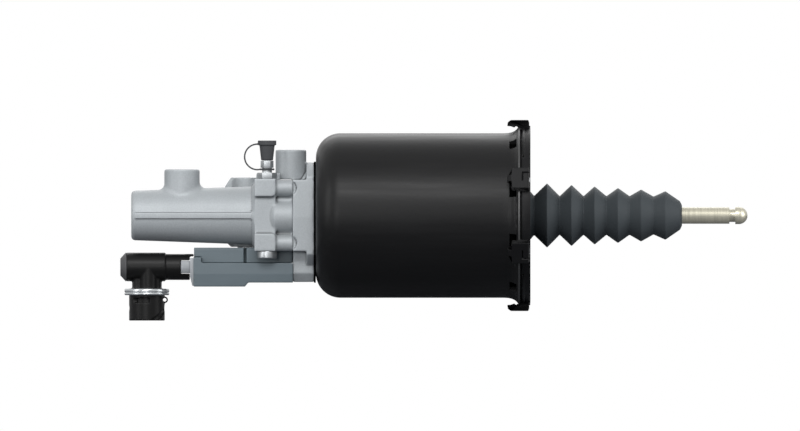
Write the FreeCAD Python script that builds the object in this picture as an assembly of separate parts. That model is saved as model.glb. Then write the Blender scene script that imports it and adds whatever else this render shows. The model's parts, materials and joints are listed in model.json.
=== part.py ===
"""Clutch servo: air cylinder, hydraulic cylinder, relay valve, travel sensor and pushrod.

Millimetres. +X runs along the axis towards the pushrod, +Z is up, and the viewer stands at -Y.
The origin is the centre of the mounting face, the outer face of the end cover.
"""
import FreeCAD, Part
import math
import os

V = FreeCAD.Vector
X_AXIS = V(1, 0, 0)
Y_AXIS = V(0, 1, 0)
Z_AXIS = V(0, 0, 1)
ORIGIN = V(0, 0, 0)

# Clearances
running_gap = 0.05
loose_gap = 0.3
assembly_gap = 0.15
edge_tolerance = 0.1

# Power cylinder can
can_radius = 53.5
can_wall = 2.0
can_corner_radius = 16.0
can_flare_start_x = -15.0
can_flare_length = 7.0
can_lip_flare = 4.0
can_lip_width = 2.5
can_slot_angles = (17.8, 58.3, 121.7, 162.2, 197.8, 238.3, 301.7, 342.2)
can_slot_width = 9.0
can_slot_length = 4.8
can_slot_x = -14.0
can_hole_radius = 20.0
raised_lip_half_angle = 47.0

# End cover
cover_lip_margin = 0.8
cover_plate = 3.1
cover_thick_rim_half_angle = 42.0
cover_depth = 14.0
cover_spigot_wall = 5.0
cover_hub_radius = 24.0
cover_rib_width = 4.0
mount_pcd = 76.0
mount_count = 4
mount_hole_radius = 3.4
mount_hole_depth = 12.0
mount_boss_radius = 7.5

# Clips of the end cover
clip_angles = (90.0, 23.4, -23.4, -90.0, 203.4, 156.6)
clip_width = 14.6
clip_height = 5.3
clip_left_x = -15.0
clip_right_x = -0.4
clip_foot_width = 5.6
clip_tip_width = 2.6
clip_tip_depth = 3.6
clip_thickness = 3.4

# Bellows: distance along the axis and outer radius at each fold
bellows_folds = (
    (0.0, 15.6), (2.4, 12.8), (10.8, 20.9), (19.0, 12.6), (26.7, 19.9), (34.5, 12.6), (41.7, 18.9),
    (49.4, 12.6), (56.9, 17.9), (64.4, 12.6), (71.9, 16.9), (80.0, 12.35), (87.7, 15.8), (97.2, 9.3),
    (98.5, 6.6),
)
bellows_wall = 1.6
bellows_bead_radius = 18.5
bellows_bead_width = 2.6
bellows_bead_x = -1.2
bellows_mouth_length = 3.0

# Pushrod
rod_radius = 5.37
rod_shoulder_x = 129.3
rod_neck_radius = 4.2
rod_neck_length = 3.8
rod_bulb_radius = 5.6
rod_bulb_length = 8.0
rod_ball_radius = 6.4
rod_ball_x = -12.0

# Air piston
piston_rest_gap = 0.3
piston_rim_length = 23.7
piston_rim_wall = 5.0
piston_web_x = -34.0
piston_web = 5.0
piston_hub_radius = 16.0
piston_hub_length = 7.0
piston_edge_gap = 0.5
seal_width = 5.0
seal_depth = 3.5
seal_offset = 3.0
band_width = 6.0
band_depth = 1.8
band_offset = 12.0

# Hydraulic plunger, and what holds the piston on it
plunger_radius = 10.0
plunger_left_x = -190.0
plunger_stub_radius = 7.0
nut_width = 22.0
nut_length = 7.0
cup_length = 6.0
plunger_nose_radius = 5.0
plunger_nose_length = 4.0
pushrod_seat_radius = 10.5
pushrod_seat_length = 15.5
seat_thread_length = 3.0
circlip_thickness = 1.0

# Hydraulic cylinder casting
cylinder_left_x = -259.5
cylinder_right_x = -179.4
cylinder_left_radius = 16.05
cylinder_right_radius = 19.0
cylinder_edge_radius = 2.5
parting_band_half_width = 1.9
parting_band_height = 0.5
hydraulic_bore_radius = 11.0
hydraulic_bore_left_x = -252.0
hydraulic_port_x = -226.5
hydraulic_port_top = 30.0
hydraulic_port_boss_radius = 11.5
hydraulic_port_hole_radius = 7.25
hydraulic_port_depth = 13.0
hydraulic_port_fillet = 4.0
port_edge = 0.8
drilling_radius = 2.0

# Valve block, the right part of the same casting
split_x = -154.5
core_radius = 20.5
plate_front_y = -24.0
plate_back_y = -10.0
plate_right_x = -165.6
plate_top = 23.9
plate_bottom = -23.1
pad_proud = 3.0
upper_pad_bottom = 12.5
lower_pad_top = -11.8
pad_corner_radius = 2.5
gallery_x = -171.2
gallery_y = -17.0
gallery_radius = 2.2
screw_y = 17.5
screw_z = 17.9
screw_boss_radius = 5.2
screw_thread_radius = 3.0
screw_head_radius = 5.0
screw_head_length = 6.0
screw_length = 18.0
thread_runout = 0.5
front_dome_z = -0.65
front_dome_y = -13.4
front_dome_radius = 10.6
front_dome_length = 4.4
ridge_left_x = -178.2
ridge_right_x = -162.6
ridge_back_y = -5.5
rear_top = 27.5
rear_right_x = -167.0
rear_top_back_y = 9.0
rear_back_y = 22.0

# Relay valve barrel behind the block
relay_x = -183.5
relay_y = 19.5
relay_radius = 10.0
relay_top = 24.7
relay_bottom = -20.4
relay_rib_left_x = -198.7
relay_rib_slope = 4.0
relay_rib_height = 6.2
relay_rib_half_width = 3.0
relay_bore_radius = 6.0
relay_plug_head = 2.9
relay_plug_width = 12.0
relay_plug_thread_radius = 7.5
relay_plug_thread_length = 7.0
relay_cap_radius = 8.6
relay_cap_height = 2.4
relay_cap_edge = 0.6
relay_cap_thread_length = 5.0
spool_length = 18.0
spool_waist_radius = 3.5
spool_land_length = 4.0
relay_spring_wire = 1.1
relay_spring_radius = 4.2
relay_spring_turns = 5
relay_spring_length = 8.0
relay_neck_inset = 3.0
relay_neck_half_width = 7.0

# Flange casting between the block and the can
flange_right_x = -140.8
flange_front_y = -24.7
flange_face_rise = 1.1
flange_face_crease_z = -1.0
flange_back_bevel = 5.0
flange_notch_radius = 4.6
flange_notch_x = -156.3
flange_notch_depth = 2.0
gusset_left_x = -149.7
gusset_top = 28.6
gusset_front_y = -6.0
gusset_back_y = 13.0
extension_bevel_height = 5.6
extension_bevel_depth = 4.0
flange_half_height = 23.2
flange_plate_radius = 34.5
flange_plate_thickness = 4.8
extension_bottom = -43.2
extension_left_x = -154.4
extension_half_width = 13.0
flange_hub_length = 8.0
air_port_x = -155.7
air_port_y = 5.0
air_port_top = 42.7
air_port_radius = 10.0
air_port_hole_radius = 5.25
air_port_depth = 13.0
air_passage_y = 5.0
air_passage_z = 31.0
can_screw_circle = 29.0
can_screw_angles = (115.0, 252.0, 288.0, 8.0)
can_screw_radius = 2.5
can_screw_head_radius = 4.5
can_screw_head_height = 3.2
can_screw_length = 8.5
can_screw_drive = 4.0
clamp_ring_thickness = 1.5
clamp_ring_margin = 2.5
gasket_thickness = 1.3
gasket_margin = 0.5

# Guide bush and seals on the plunger
bush_radius = 13.0
bush_left_x = -150.0
rod_seal_radius = 14.4
rod_seal_length = 5.0
ring_seal_radius = 17.5
ring_seal_wire = 1.6
ring_seal_groove = 1.3
bush_circlip_width = 2.0
bush_circlip_opening = 5.2

# Bleed screw, its rubber cap and the plug below
bleed_hex_width = 11.0
bleed_hex_top = 27.8
bleed_neck_radius = 3.2
bleed_neck_top = 31.0
bleed_upper_width = 7.3
bleed_nipple_radius = 2.35
bleed_nipple_top = 43.0
bleed_thread_radius = 4.0
bleed_thread_length = 11.0
bleed_seat_radius = 1.6
bleed_bore_radius = 1.0
cap_bottom = 35.8
cap_bottom_radius = 3.9
cap_bottom_edge = 0.8
cap_top_radius = 5.0
cap_rim_bottom = 45.7
cap_rim_radius = 6.0
cap_top = 48.75
cap_cavity_top = 43.6
strap_thickness = 1.0
strap_width = 2.4
strap_loop_x = -177.5
strap_loop_z = 38.1
strap_loop_radius = 8.3
strap_ring_radius = 4.8
strap_ring_bottom = 29.4
strap_ring_height = 1.2
plug_head_radius = 6.5
plug_head_bottom = -28.0
plug_thread_radius = 5.0
plug_thread_length = 8.0
plug_socket_radius = 2.9
plug_socket_depth = 3.0
plug_edge = 0.8

# Travel sensor
sensor_z = -36.5
sensor_left_x = -219.0
sensor_bottom = -46.2
sensor_top = -30.9
sensor_front_y = -15.0
sensor_back_y = 12.0
sensor_step_x = -213.9
sensor_step_top = -27.1
sensor_thin_x = -184.5
sensor_thin_bottom = -43.6
sensor_crease_z = -38.0
sensor_slope = 1.2
sensor_cover_left_x = -218.7
sensor_cover_gap = 0.4
sensor_cover_front_y = -6.0
sensor_cover_split_x = -185.5
sensor_cover_groove = 1.8
sensor_cover_groove_depth = 8.0
sensor_cover_edge = 1.0
sensor_plate_thickness = 2.3
sensor_plate_margin = 0.5
sensor_plate_corner = 1.5
fitting_left_x = -227.2
fitting_width = 8.2
fitting_radius = 7.9
fitting_spigot_length = 8.0
sensor_plunger_radius = 3.0
sensor_plunger_left_x = -158.0
sensor_foot_radius = 4.8
sensor_foot_length = 2.0
sensor_cavity_left_x = -216.0
coil_radius = 4.9
coil_right_x = -162.0
sensor_screw_radius = 1.75
sensor_screw_head_radius = 3.0
sensor_screw_head_height = 2.2
sensor_screw_length = 12.0
sensor_screw_drive = 2.6
sensor_screw_y = 8.2
sensor_screw_xs = (-208.0, -169.0)

# Elbow with its bayonet connector
elbow_z = -33.45
elbow_y = -5.0
elbow_left_x = -262.6
elbow_step_x = -237.4
elbow_right_x = -221.4
elbow_radius = 9.35
elbow_tube_radius = 8.45
elbow_wall = 2.2
elbow_cap_length = 4.0
elbow_cap_edge = 3.8
elbow_cap_band = 0.5
latch_right_x = -218.9
latch_bottom = -26.6
latch_half_width = 2.5
stem_x = -249.3
stem_radius = 9.65
stem_flat = 4.0
stem_bore_step = 0.55
column_x = -248.3
column_radius = 5.8
barrel_radius = 11.6
barrel_wall = 2.0
barrel_top = -47.5
barrel_bottom = -68.3
ring_radius = 14.65
ring_bottom = -51.8
ring_hole_radius = 11.7
ring_opening = 5.0
fork_gap = 0.2
bayonet_width = 3.2
bayonet_depth = 1.5
bayonet_start = 24.0
bayonet_turn = 66.0
bayonet_rise = 8.0
bayonet_steps = 9
window_x = -3.5
window_z = -55.2
window_height = 3.0
window_width = 11.2
eyelet_z = -54.8
eyelet_radius = 2.1
eyelet_hole_radius = 1.2
eyelet_half_width = 1.0
carrier_top = -52.0
carrier_bottom = -57.5
pin_radius = 0.9
pin_circle = 4.3
pin_bottom = -63.5
pin_top = -49.0

# Preload spring of the air piston
preload_wire = 3.0
preload_radius = 22.0
preload_turns = 7
coil_runs_per_turn = 16


def box(low, high):
    """A box between two opposite corners."""
    low_corner = V(*low)
    size = V(*high) - low_corner
    return Part.makeBox(size.x, size.y, size.z, low_corner)


def rod_x(radius, left, right, y=0.0, z=0.0):
    """A cylinder along X."""
    return Part.makeCylinder(radius, right - left, V(left, y, z), X_AXIS)


def rod_z(radius, low, high, x, y):
    """A cylinder along Z."""
    return Part.makeCylinder(radius, high - low, V(x, y, low), Z_AXIS)


def turned(points):
    """A solid turned about X from (x, radius) points."""
    corners = [V(x, 0, radius) for x, radius in points]
    face = Part.Face(Part.makePolygon(corners + corners[:1]))
    return face.revolve(ORIGIN, X_AXIS, 360)


def rod_y(radius, front, back, x, z):
    """A cylinder along Y."""
    return Part.makeCylinder(radius, back - front, V(x, front, z), Y_AXIS)


def turned_wire(edges):
    """A solid turned about X from connected edges in the XZ plane."""
    face = Part.Face(Part.Wire(edges))
    return face.revolve(ORIGIN, X_AXIS, 360)


def hexagon(width, low, high, x, y):
    """A hexagon prism along Z with its width across flats."""
    radius = width / math.sqrt(3)
    corners = [
        V(x + radius * math.cos(math.radians(60 * i)), y + radius * math.sin(math.radians(60 * i)), low)
        for i in range(6)
    ]
    face = Part.Face(Part.makePolygon(corners + corners[:1]))
    return face.extrude(V(0, 0, high - low))


def hexagon_x(width, left, right, y=0.0, z=0.0):
    """A hexagon prism along X with its width across flats."""
    radius = width / math.sqrt(3)
    corners = [
        V(left, y + radius * math.cos(math.radians(60 * i)), z + radius * math.sin(math.radians(60 * i)))
        for i in range(6)
    ]
    face = Part.Face(Part.makePolygon(corners + corners[:1]))
    return face.extrude(V(right - left, 0, 0))


def extruded(corners, length):
    """A prism from corners given as (x, y, z), pushed along a vector."""
    points = [V(*corner) for corner in corners]
    return Part.Face(Part.makePolygon(points + points[:1])).extrude(length)


def around_x(shape, angle):
    """A copy turned about X, where 0 degrees faces the viewer and 90 degrees is the top."""
    copy = shape.copy()
    copy.rotate(ORIGIN, X_AXIS, -angle)
    return copy


def softened(shape, radius, wanted):
    """A shape with the wanted edges rounded."""
    edges = [edge for edge in shape.Edges if wanted(edge)]
    return shape.makeFillet(radius, edges) if edges else shape


def at_height(z):
    """A test for edges that lie at one height."""
    return lambda edge: abs(edge.CenterOfMass.z - z) < edge_tolerance


def coil(wire, radius, turns, length, base, direction):
    """A coil spring of straight mitred runs, with its ends inside the given length."""
    count = turns * coil_runs_per_turn
    climb = (length - wire) / count
    corners = []
    for index in range(count + 1):
        angle = 2 * math.pi * index / coil_runs_per_turn
        corners.append(V(radius * math.cos(angle), radius * math.sin(angle), wire / 2 + climb * index))
    path = Part.makePolygon(corners)
    ring = Part.Wire(Part.makeCircle(wire / 2, corners[0], corners[1] - corners[0]))
    solid = path.makePipeShell([ring], True, False, 1)
    turn = FreeCAD.Rotation(Z_AXIS, direction)
    solid.Placement = FreeCAD.Placement(base, turn)
    return solid


def save(name, shape):
    """Writes one piece, or a group of separate solids, to its file."""
    merged = shape.copy().removeSplitter()
    clean = merged if merged.isValid() else shape
    volume = sum(solid.Volume for solid in clean.Solids)
    print(f"{name}: {len(clean.Solids)} solids, {volume:.0f} mm3, valid {clean.isValid()}")
    clean.exportStep(f"parts/{name}.step")


# Radii that follow from the sizes above
can_inner_radius = can_radius - can_wall
can_lip_radius = can_radius + can_lip_flare
cover_radius = can_lip_radius - cover_lip_margin
clip_outer_radius = cover_radius + clip_height
clamp_ring_radius = can_radius - can_corner_radius - clamp_ring_margin
air_port_bottom = screw_z + screw_boss_radius + loose_gap
sensor_cover_top = -core_radius - sensor_cover_gap
can_end_x = flange_right_x + gasket_thickness
can_floor_x = can_end_x + can_wall
piston_right_x = -cover_depth - piston_rest_gap
piston_left_x = piston_right_x - piston_rim_length
piston_edge_radius = can_inner_radius - piston_edge_gap
nut_left_x = piston_web_x + piston_web
plunger_shoulder_x = nut_left_x - piston_hub_length
nut_right_x = nut_left_x + nut_length
seat_right_x = nut_right_x + pushrod_seat_length
flange_hub_right_x = flange_right_x + flange_hub_length
sensor_axis_y = 0.0
plunger_hole_radius = sensor_plunger_radius + loose_gap


def sector(inner, outer, left, right, middle_angle, half_angle):
    """A ring piece about X between two angles."""
    ring = turned([(left, inner), (right, inner), (right, outer), (left, outer)])
    reach = 2.0 * outer
    corners = [(left, 0, 0)]
    for step in range(5):
        angle = math.radians(middle_angle + half_angle * (step / 2.0 - 1.0))
        corners.append((left, -reach * math.cos(angle), reach * math.sin(angle)))
    wedge = extruded(corners, V(right - left, 0, 0))
    return ring.common(wedge)


def cylinder_can():
    """Deep-drawn can with a rounded closed end, a flared rim and rectangular slots."""
    outer = can_radius
    corner = can_corner_radius
    inner_corner = corner - can_wall
    slant = math.sqrt(0.5)
    left = can_end_x
    floor = can_floor_x
    flare_end = can_flare_start_x + can_flare_length
    lip_end = flare_end + can_lip_width
    hole = can_hole_radius + assembly_gap
    inner = can_inner_radius
    arc_out = Part.Arc(
        V(left, 0, outer - corner),
        V(left + corner * (1 - slant), 0, outer - corner * (1 - slant)),
        V(left + corner, 0, outer),
    ).toShape()
    arc_in = Part.Arc(
        V(left + corner, 0, inner),
        V(floor + inner_corner * (1 - slant), 0, inner - inner_corner * (1 - slant)),
        V(floor, 0, inner - inner_corner),
    ).toShape()
    outside = [
        V(left + corner, 0, outer), V(can_flare_start_x, 0, outer),
        V(flare_end, 0, can_lip_radius), V(lip_end, 0, can_lip_radius),
        V(lip_end, 0, can_lip_radius - can_wall), V(flare_end, 0, can_lip_radius - can_wall),
        V(can_flare_start_x + can_wall, 0, inner), V(left + corner, 0, inner),
    ]
    end_face = [
        V(floor, 0, inner - inner_corner), V(floor, 0, hole), V(left, 0, hole), V(left, 0, outer - corner),
    ]
    edges = [arc_out] + [Part.makeLine(a, b) for a, b in zip(outside, outside[1:])]
    edges += [arc_in] + [Part.makeLine(a, b) for a, b in zip(end_face, end_face[1:])]
    can = turned_wire(edges)
    raised = []
    for middle in (90.0, 270.0):
        raised.append(sector(
            can_lip_radius - can_wall, can_lip_radius - assembly_gap, lip_end - can_wall,
            -cover_plate, middle, raised_lip_half_angle,
        ))
    can = can.fuse(raised)
    slots = []
    for angle in can_slot_angles:
        slot = box(
            (can_slot_x, -can_lip_radius - 1, -can_slot_width / 2),
            (can_slot_x + can_slot_length, -inner + can_wall, can_slot_width / 2),
        )
        slots.append(around_x(slot, angle))
    return can.cut(slots + mating_holes(left - 1, floor + 1))


def can_screw_places():
    """Centres of the screws that hold the can to the flange."""
    turns = [math.radians(angle) for angle in can_screw_angles]
    return [(can_screw_circle * math.cos(turn), can_screw_circle * math.sin(turn)) for turn in turns]


def mating_holes(left, right):
    """The holes that the can end, the gasket and the clamp ring share."""
    holes = [rod_x(can_hole_radius + assembly_gap, left, right)]
    for y, z in can_screw_places():
        holes.append(rod_x(can_screw_radius + assembly_gap, left, right, y, z))
    holes.append(rod_x(plunger_hole_radius, left, right, sensor_axis_y, sensor_z))
    holes.append(rod_x(drilling_radius, left, right, air_passage_y, air_passage_z))
    return holes


def end_cover():
    """Ring cover with its mounting face, a spigot in the can and tapped bosses."""
    spigot_radius = can_inner_radius - assembly_gap
    spigot_inner = spigot_radius - cover_spigot_wall
    back = -cover_depth
    lip_end = can_flare_start_x + can_flare_length + can_lip_width
    cover = turned([(-cover_plate, 1), (0, 1), (0, cover_radius), (-cover_plate, cover_radius)])
    for middle in (0.0, 180.0):
        cover = cover.fuse(sector(
            spigot_inner, cover_radius, lip_end + running_gap, 0, middle, cover_thick_rim_half_angle,
        ))
    rings = [
        turned([(back, spigot_inner), (0, spigot_inner), (0, spigot_radius), (back, spigot_radius)]),
        turned([(back, 1), (0, 1), (0, cover_hub_radius), (back, cover_hub_radius)]),
    ]
    for y, z in mount_places():
        rings.append(rod_x(mount_boss_radius, back, 0, y, z))
    middle_radius = (cover_hub_radius + spigot_inner) / 2
    half_rib = (spigot_inner - cover_hub_radius) / 2 + 1
    for index in range(mount_count):
        rib = box(
            (back, -middle_radius - half_rib, -cover_rib_width / 2),
            (0, -middle_radius + half_rib, cover_rib_width / 2),
        )
        rings.append(around_x(rib, 360.0 * index / mount_count))
    cover = cover.fuse(rings)
    bead = bellows_bead_radius + assembly_gap
    cuts = [
        rod_x(bellows_folds[0][1] + assembly_gap, back - 1, 1),
        rod_x(bead, back - 1, bellows_bead_x),
    ]
    for y, z in mount_places():
        cuts.append(rod_x(mount_hole_radius, -mount_hole_depth, 1, y, z))
    return cover.cut(cuts)


def mount_places():
    """Centres of the tapped holes in the mounting face."""
    turns = [math.radians(360.0 * (index + 0.5) / mount_count) for index in range(mount_count)]
    return [(mount_pcd / 2 * math.cos(turn), mount_pcd / 2 * math.sin(turn)) for turn in turns]


def cover_clips():
    """Six hooks that stand on the cover's edge and reach back over the can's rim."""
    left = clip_left_x
    right = clip_right_x
    outer = clip_outer_radius
    under = outer - clip_thickness
    tip = outer - clip_thickness - clip_tip_depth / 2
    slant = clip_thickness / 2
    foot = right - clip_foot_width
    profile = [
        (left, outer - slant), (left + slant, outer), (right, outer), (right, cover_radius - slant),
        (foot, cover_radius - slant), (foot, under - slant), (foot - slant, under),
        (left + clip_tip_width + slant, under), (left + clip_tip_width, tip), (left, tip),
    ]
    blank = extruded([(x, -r, -clip_width / 2) for x, r in profile], V(0, 0, clip_width))
    cuts = [
        rod_x(cover_radius + running_gap, -cover_depth, 1),
        rod_x(can_lip_radius + assembly_gap, can_flare_start_x - 1, running_gap - cover_plate),
    ]
    clip = blank.cut(cuts)
    return Part.makeCompound([around_x(clip, angle) for angle in clip_angles])


def bellows():
    """Rubber bellows turned in one piece, with a bead under the cover and a mouth on the rod."""
    end_x = bellows_folds[-1][0]
    mouth_x = end_x - bellows_mouth_length
    mouth_radius = rod_radius + running_gap
    base_radius = bellows_folds[0][1]
    bead_back = bellows_bead_x - bellows_bead_width
    inside = [(x, r - bellows_wall) for x, r in bellows_folds[:-2]]
    profile = [(bead_back, bellows_bead_radius), (bellows_bead_x, bellows_bead_radius)]
    profile += [(bellows_bead_x, base_radius)]
    profile += list(bellows_folds)
    profile += [(end_x, mouth_radius), (mouth_x, mouth_radius)]
    profile += [(mouth_x, bellows_folds[-2][1] - bellows_wall / 2)]
    profile += inside[::-1]
    profile += [(bead_back, inside[0][1])]
    return turned(profile)


def flange_disc(left, right, margin):
    """The flange's disc against the can, cut flat at the front."""
    radius = flange_plate_radius + margin
    front = flange_front_y + flange_face_rise - margin
    return rod_x(radius, left, right).common(box((left, front, -radius), (right, radius, radius)))


def flange_outline(left, right, margin):
    """The flange's outline against the can, with its lower extension."""
    half = extension_half_width + margin
    foot = box((left, -half, extension_bottom - margin), (right, half, 0))
    return flange_disc(left, right, margin).fuse(foot)


def can_gasket():
    """Flat gasket between the flange and the can."""
    sheet = flange_outline(flange_right_x, can_end_x, gasket_margin)
    return sheet.cut(mating_holes(flange_right_x - 1, can_end_x + 1))


def can_clamp_ring():
    """Steel ring that spreads the screws' load over the can's floor."""
    ring = rod_x(clamp_ring_radius, can_floor_x, can_floor_x + clamp_ring_thickness)
    return ring.cut(mating_holes(can_floor_x - 1, can_floor_x + clamp_ring_thickness + 1))


def can_screws():
    """Screws through the clamp ring and the can into the flange."""
    seat = can_floor_x + clamp_ring_thickness
    screws = []
    for y, z in can_screw_places():
        shank = rod_x(can_screw_radius, seat - can_screw_length, seat, y, z)
        head = rod_x(can_screw_head_radius, seat, seat + can_screw_head_height, y, z)
        top = seat + can_screw_head_height
        drive = hexagon_x(can_screw_drive, seat + can_screw_head_height / 2, top + 1, y, z)
        screws.append(shank.fuse(head).cut(drive))
    return Part.makeCompound(screws)


def preload_spring():
    """Coil spring between the can's floor and the air piston."""
    left = can_floor_x + clamp_ring_thickness
    return coil(preload_wire, preload_radius, preload_turns, piston_web_x - left, V(left, 0, 0), X_AXIS)


def air_piston():
    """Aluminium air piston: a rim with two grooves, a web and a hub."""
    rim_inner = piston_edge_radius - piston_rim_wall
    rim = turned([
        (piston_left_x, rim_inner), (piston_right_x, rim_inner),
        (piston_right_x, piston_edge_radius), (piston_left_x, piston_edge_radius),
    ])
    web_right = piston_web_x + piston_web
    web = turned([
        (piston_web_x, 1), (web_right, 1), (web_right, rim_inner + 1), (piston_web_x, rim_inner + 1),
    ])
    hub = rod_x(piston_hub_radius, plunger_shoulder_x, nut_left_x)
    grooves = [
        turned(groove(seal_offset, seal_width, seal_depth)),
        turned(groove(band_offset, band_width, band_depth)),
    ]
    bore = rod_x(plunger_stub_radius + running_gap, plunger_shoulder_x - 1, nut_left_x + 1)
    return rim.fuse([web, hub]).cut(grooves + [bore])


def groove(offset, width, depth):
    """The outline of a groove in the piston's edge, from its left end."""
    left = piston_left_x + offset
    floor = piston_edge_radius - depth
    top = piston_edge_radius + 1
    return [(left, floor), (left + width, floor), (left + width, top), (left, top)]


def piston_seal():
    """Rubber lip seal of the air piston, with its lip towards the air side."""
    left = piston_left_x + seal_offset + running_gap
    right = left + seal_width - 2 * running_gap
    floor = piston_edge_radius - seal_depth + running_gap
    lip = can_inner_radius - running_gap
    waist = piston_edge_radius - seal_depth / 3
    middle = (left + right) / 2
    return turned([
        (left, floor + seal_depth / 2), (middle, floor + seal_depth / 3), (left, floor),
        (right, floor), (right, waist), (middle, waist), (left, lip),
    ])


def piston_guide_band():
    """Plastic band that guides the air piston in the can."""
    left = piston_left_x + band_offset + running_gap
    right = left + band_width - 2 * running_gap
    floor = piston_edge_radius - band_depth + running_gap
    outer = can_inner_radius - running_gap
    return turned([(left, floor), (right, floor), (right, outer), (left, outer)])


def piston_nut():
    """Hexagon nut that clamps the air piston on the plunger."""
    nut = hexagon_x(nut_width, nut_left_x, nut_right_x)
    return nut.cut(rod_x(plunger_stub_radius + running_gap, nut_left_x - 1, nut_right_x + 1))


def hydraulic_plunger():
    """Steel plunger with a nose for its cup seal and a threaded stub."""
    nose = rod_x(plunger_nose_radius, plunger_left_x - plunger_nose_length, plunger_left_x + 1)
    body = rod_x(plunger_radius, plunger_left_x, plunger_shoulder_x)
    stub = rod_x(plunger_stub_radius, plunger_shoulder_x - 1, nut_right_x + seat_thread_length)
    return body.fuse([nose, stub])


def plunger_cup():
    """Rubber cup seal on the plunger's nose."""
    left = plunger_left_x - cup_length
    outer = hydraulic_bore_radius - running_gap
    inner = plunger_nose_radius + running_gap
    middle = (outer + inner) / 2
    return turned([
        (plunger_left_x, inner), (plunger_left_x, outer), (left, outer),
        (left + cup_length / 2, middle), (left + cup_length / 3, inner),
    ])


def pushrod_seat():
    """Seat with a ball socket, screwed on the plunger's stub."""
    body = rod_x(pushrod_seat_radius, nut_right_x, seat_right_x)
    socket = rod_ball_radius + running_gap
    cuts = [
        rod_x(plunger_stub_radius + running_gap, nut_right_x - 1, nut_right_x + seat_thread_length),
        Part.makeSphere(socket, V(rod_ball_x, 0, 0)),
        rod_x(socket, rod_ball_x, seat_right_x + 1),
        rod_x(socket + circlip_thickness, circlip_left(), circlip_left() + circlip_thickness + running_gap),
    ]
    return body.cut(cuts)


def circlip_left():
    """The left face of the ring that keeps the rod's ball in its seat."""
    return seat_right_x - 2.5 * circlip_thickness


def seat_circlip():
    """Open spring ring in the seat's groove."""
    left = circlip_left()
    outer = rod_ball_radius + circlip_thickness
    inner = rod_radius + running_gap + loose_gap
    right = left + circlip_thickness
    ring = rod_x(outer, left, right).cut(rod_x(inner, left - 1, right + 1))
    gap = box((left - 1, -outer - 1, -circlip_thickness), (right + 1, 0, circlip_thickness))
    return ring.cut(gap)


def pushrod():
    """Steel rod with a ball in the seat, a neck and a rounded outer end."""
    inner_ball = Part.makeSphere(rod_ball_radius, V(rod_ball_x, 0, 0))
    neck_end = rod_shoulder_x + rod_neck_length
    tip = neck_end + rod_bulb_length
    shaft = rod_x(rod_radius, rod_ball_x, rod_shoulder_x)
    neck = rod_x(rod_neck_radius, rod_shoulder_x - 1, neck_end + 1)
    dome_x = tip - rod_bulb_radius
    bulb = rod_x(rod_bulb_radius, neck_end, dome_x)
    dome = Part.makeSphere(rod_bulb_radius, V(dome_x, 0, 0))
    dome = dome.common(rod_x(rod_bulb_radius, dome_x, tip))
    return shaft.fuse([inner_ball, neck, bulb, dome])


def screw_places():
    """Centres of the four screws that join the block and the flange."""
    return [(y, z) for y in (-screw_y, screw_y) for z in (-screw_z, screw_z)]


def tapered_cylinder():
    """The outer form of the hydraulic cylinder, with its parting band and inlet boss."""
    left = cylinder_left_x
    length = cylinder_right_x - left
    cone = Part.makeCone(cylinder_left_radius, cylinder_right_radius, length, V(left, 0, 0), X_AXIS)
    cone = softened(
        cone, cylinder_edge_radius, lambda edge: abs(edge.CenterOfMass.x - left) < edge_tolerance,
    )
    half = parting_band_half_width
    low = -cylinder_left_radius - parting_band_height
    high = -cylinder_right_radius - parting_band_height
    bands = []
    band_left = left + cylinder_edge_radius
    for side in (1, -1):
        bands.append(extruded([
            (band_left, side * low, -half), (cylinder_right_x, side * high, -half),
            (cylinder_right_x, 0, -half), (band_left, 0, -half),
        ], V(0, 0, 2 * half)))
    boss = rod_z(hydraulic_port_boss_radius, 0, hydraulic_port_top, hydraulic_port_x, 0)
    boss = softened(boss, port_edge, at_height(hydraulic_port_top))
    joined = cone.fuse(boss)
    joined = softened(joined, hydraulic_port_fillet, boss_foot)
    return joined.fuse(bands)


def boss_foot(edge):
    """True for the curved edge where the inlet boss meets the tapered cylinder."""
    reach = edge.BoundBox
    curved = reach.ZLength > 1 and reach.ZMin > 0
    return curved and reach.XMax < hydraulic_port_x + 2 * hydraulic_port_boss_radius


def block_body():
    """The outer form of the valve block."""
    left = cylinder_right_x
    shapes = [
        rod_x(core_radius, left - 1, split_x),
        box((left, -screw_y, -core_radius), (split_x, rear_back_y, core_radius)),
        box((left, plate_front_y + pad_proud, plate_bottom), (plate_right_x, plate_back_y, plate_top)),
        box((ridge_left_x, plate_back_y, 0), (ridge_right_x, ridge_back_y, rear_top)),
        box((ridge_left_x, ridge_back_y - 1, 0), (rear_right_x, rear_top_back_y, rear_top)),
    ]
    for low, high in ((upper_pad_bottom, plate_top), (plate_bottom, lower_pad_top)):
        pad = box((left, plate_front_y, low), (plate_right_x, plate_back_y, high))
        pad = softened(pad, pad_corner_radius, pad_inner_corner)
        shapes.append(pad)
    for y, z in screw_places():
        shapes.append(rod_x(screw_boss_radius, plate_right_x - 1, split_x, y, z))
    shapes.append(rod_x(front_dome_radius, plate_right_x - 1, split_x, front_dome_y, front_dome_z))
    bulge = Part.makeSphere(front_dome_radius, ORIGIN)
    stretch = FreeCAD.Matrix()
    stretch.scale(front_dome_length / front_dome_radius, 1, 1)
    bulge = bulge.transformGeometry(stretch)
    bulge.translate(V(plate_right_x, front_dome_y, front_dome_z))
    shapes.append(bulge)
    return shapes


def pad_inner_corner(edge):
    """True for the pad edge along Y that faces the middle of the plate on the right."""
    centre = edge.CenterOfMass
    box_size = edge.BoundBox
    thin = edge_tolerance
    along_y = box_size.YLength > 1 and box_size.XLength < thin and box_size.ZLength < thin
    inner = min(abs(centre.z - upper_pad_bottom), abs(centre.z - lower_pad_top)) < thin
    return along_y and inner and abs(centre.x - plate_right_x) < thin


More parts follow.
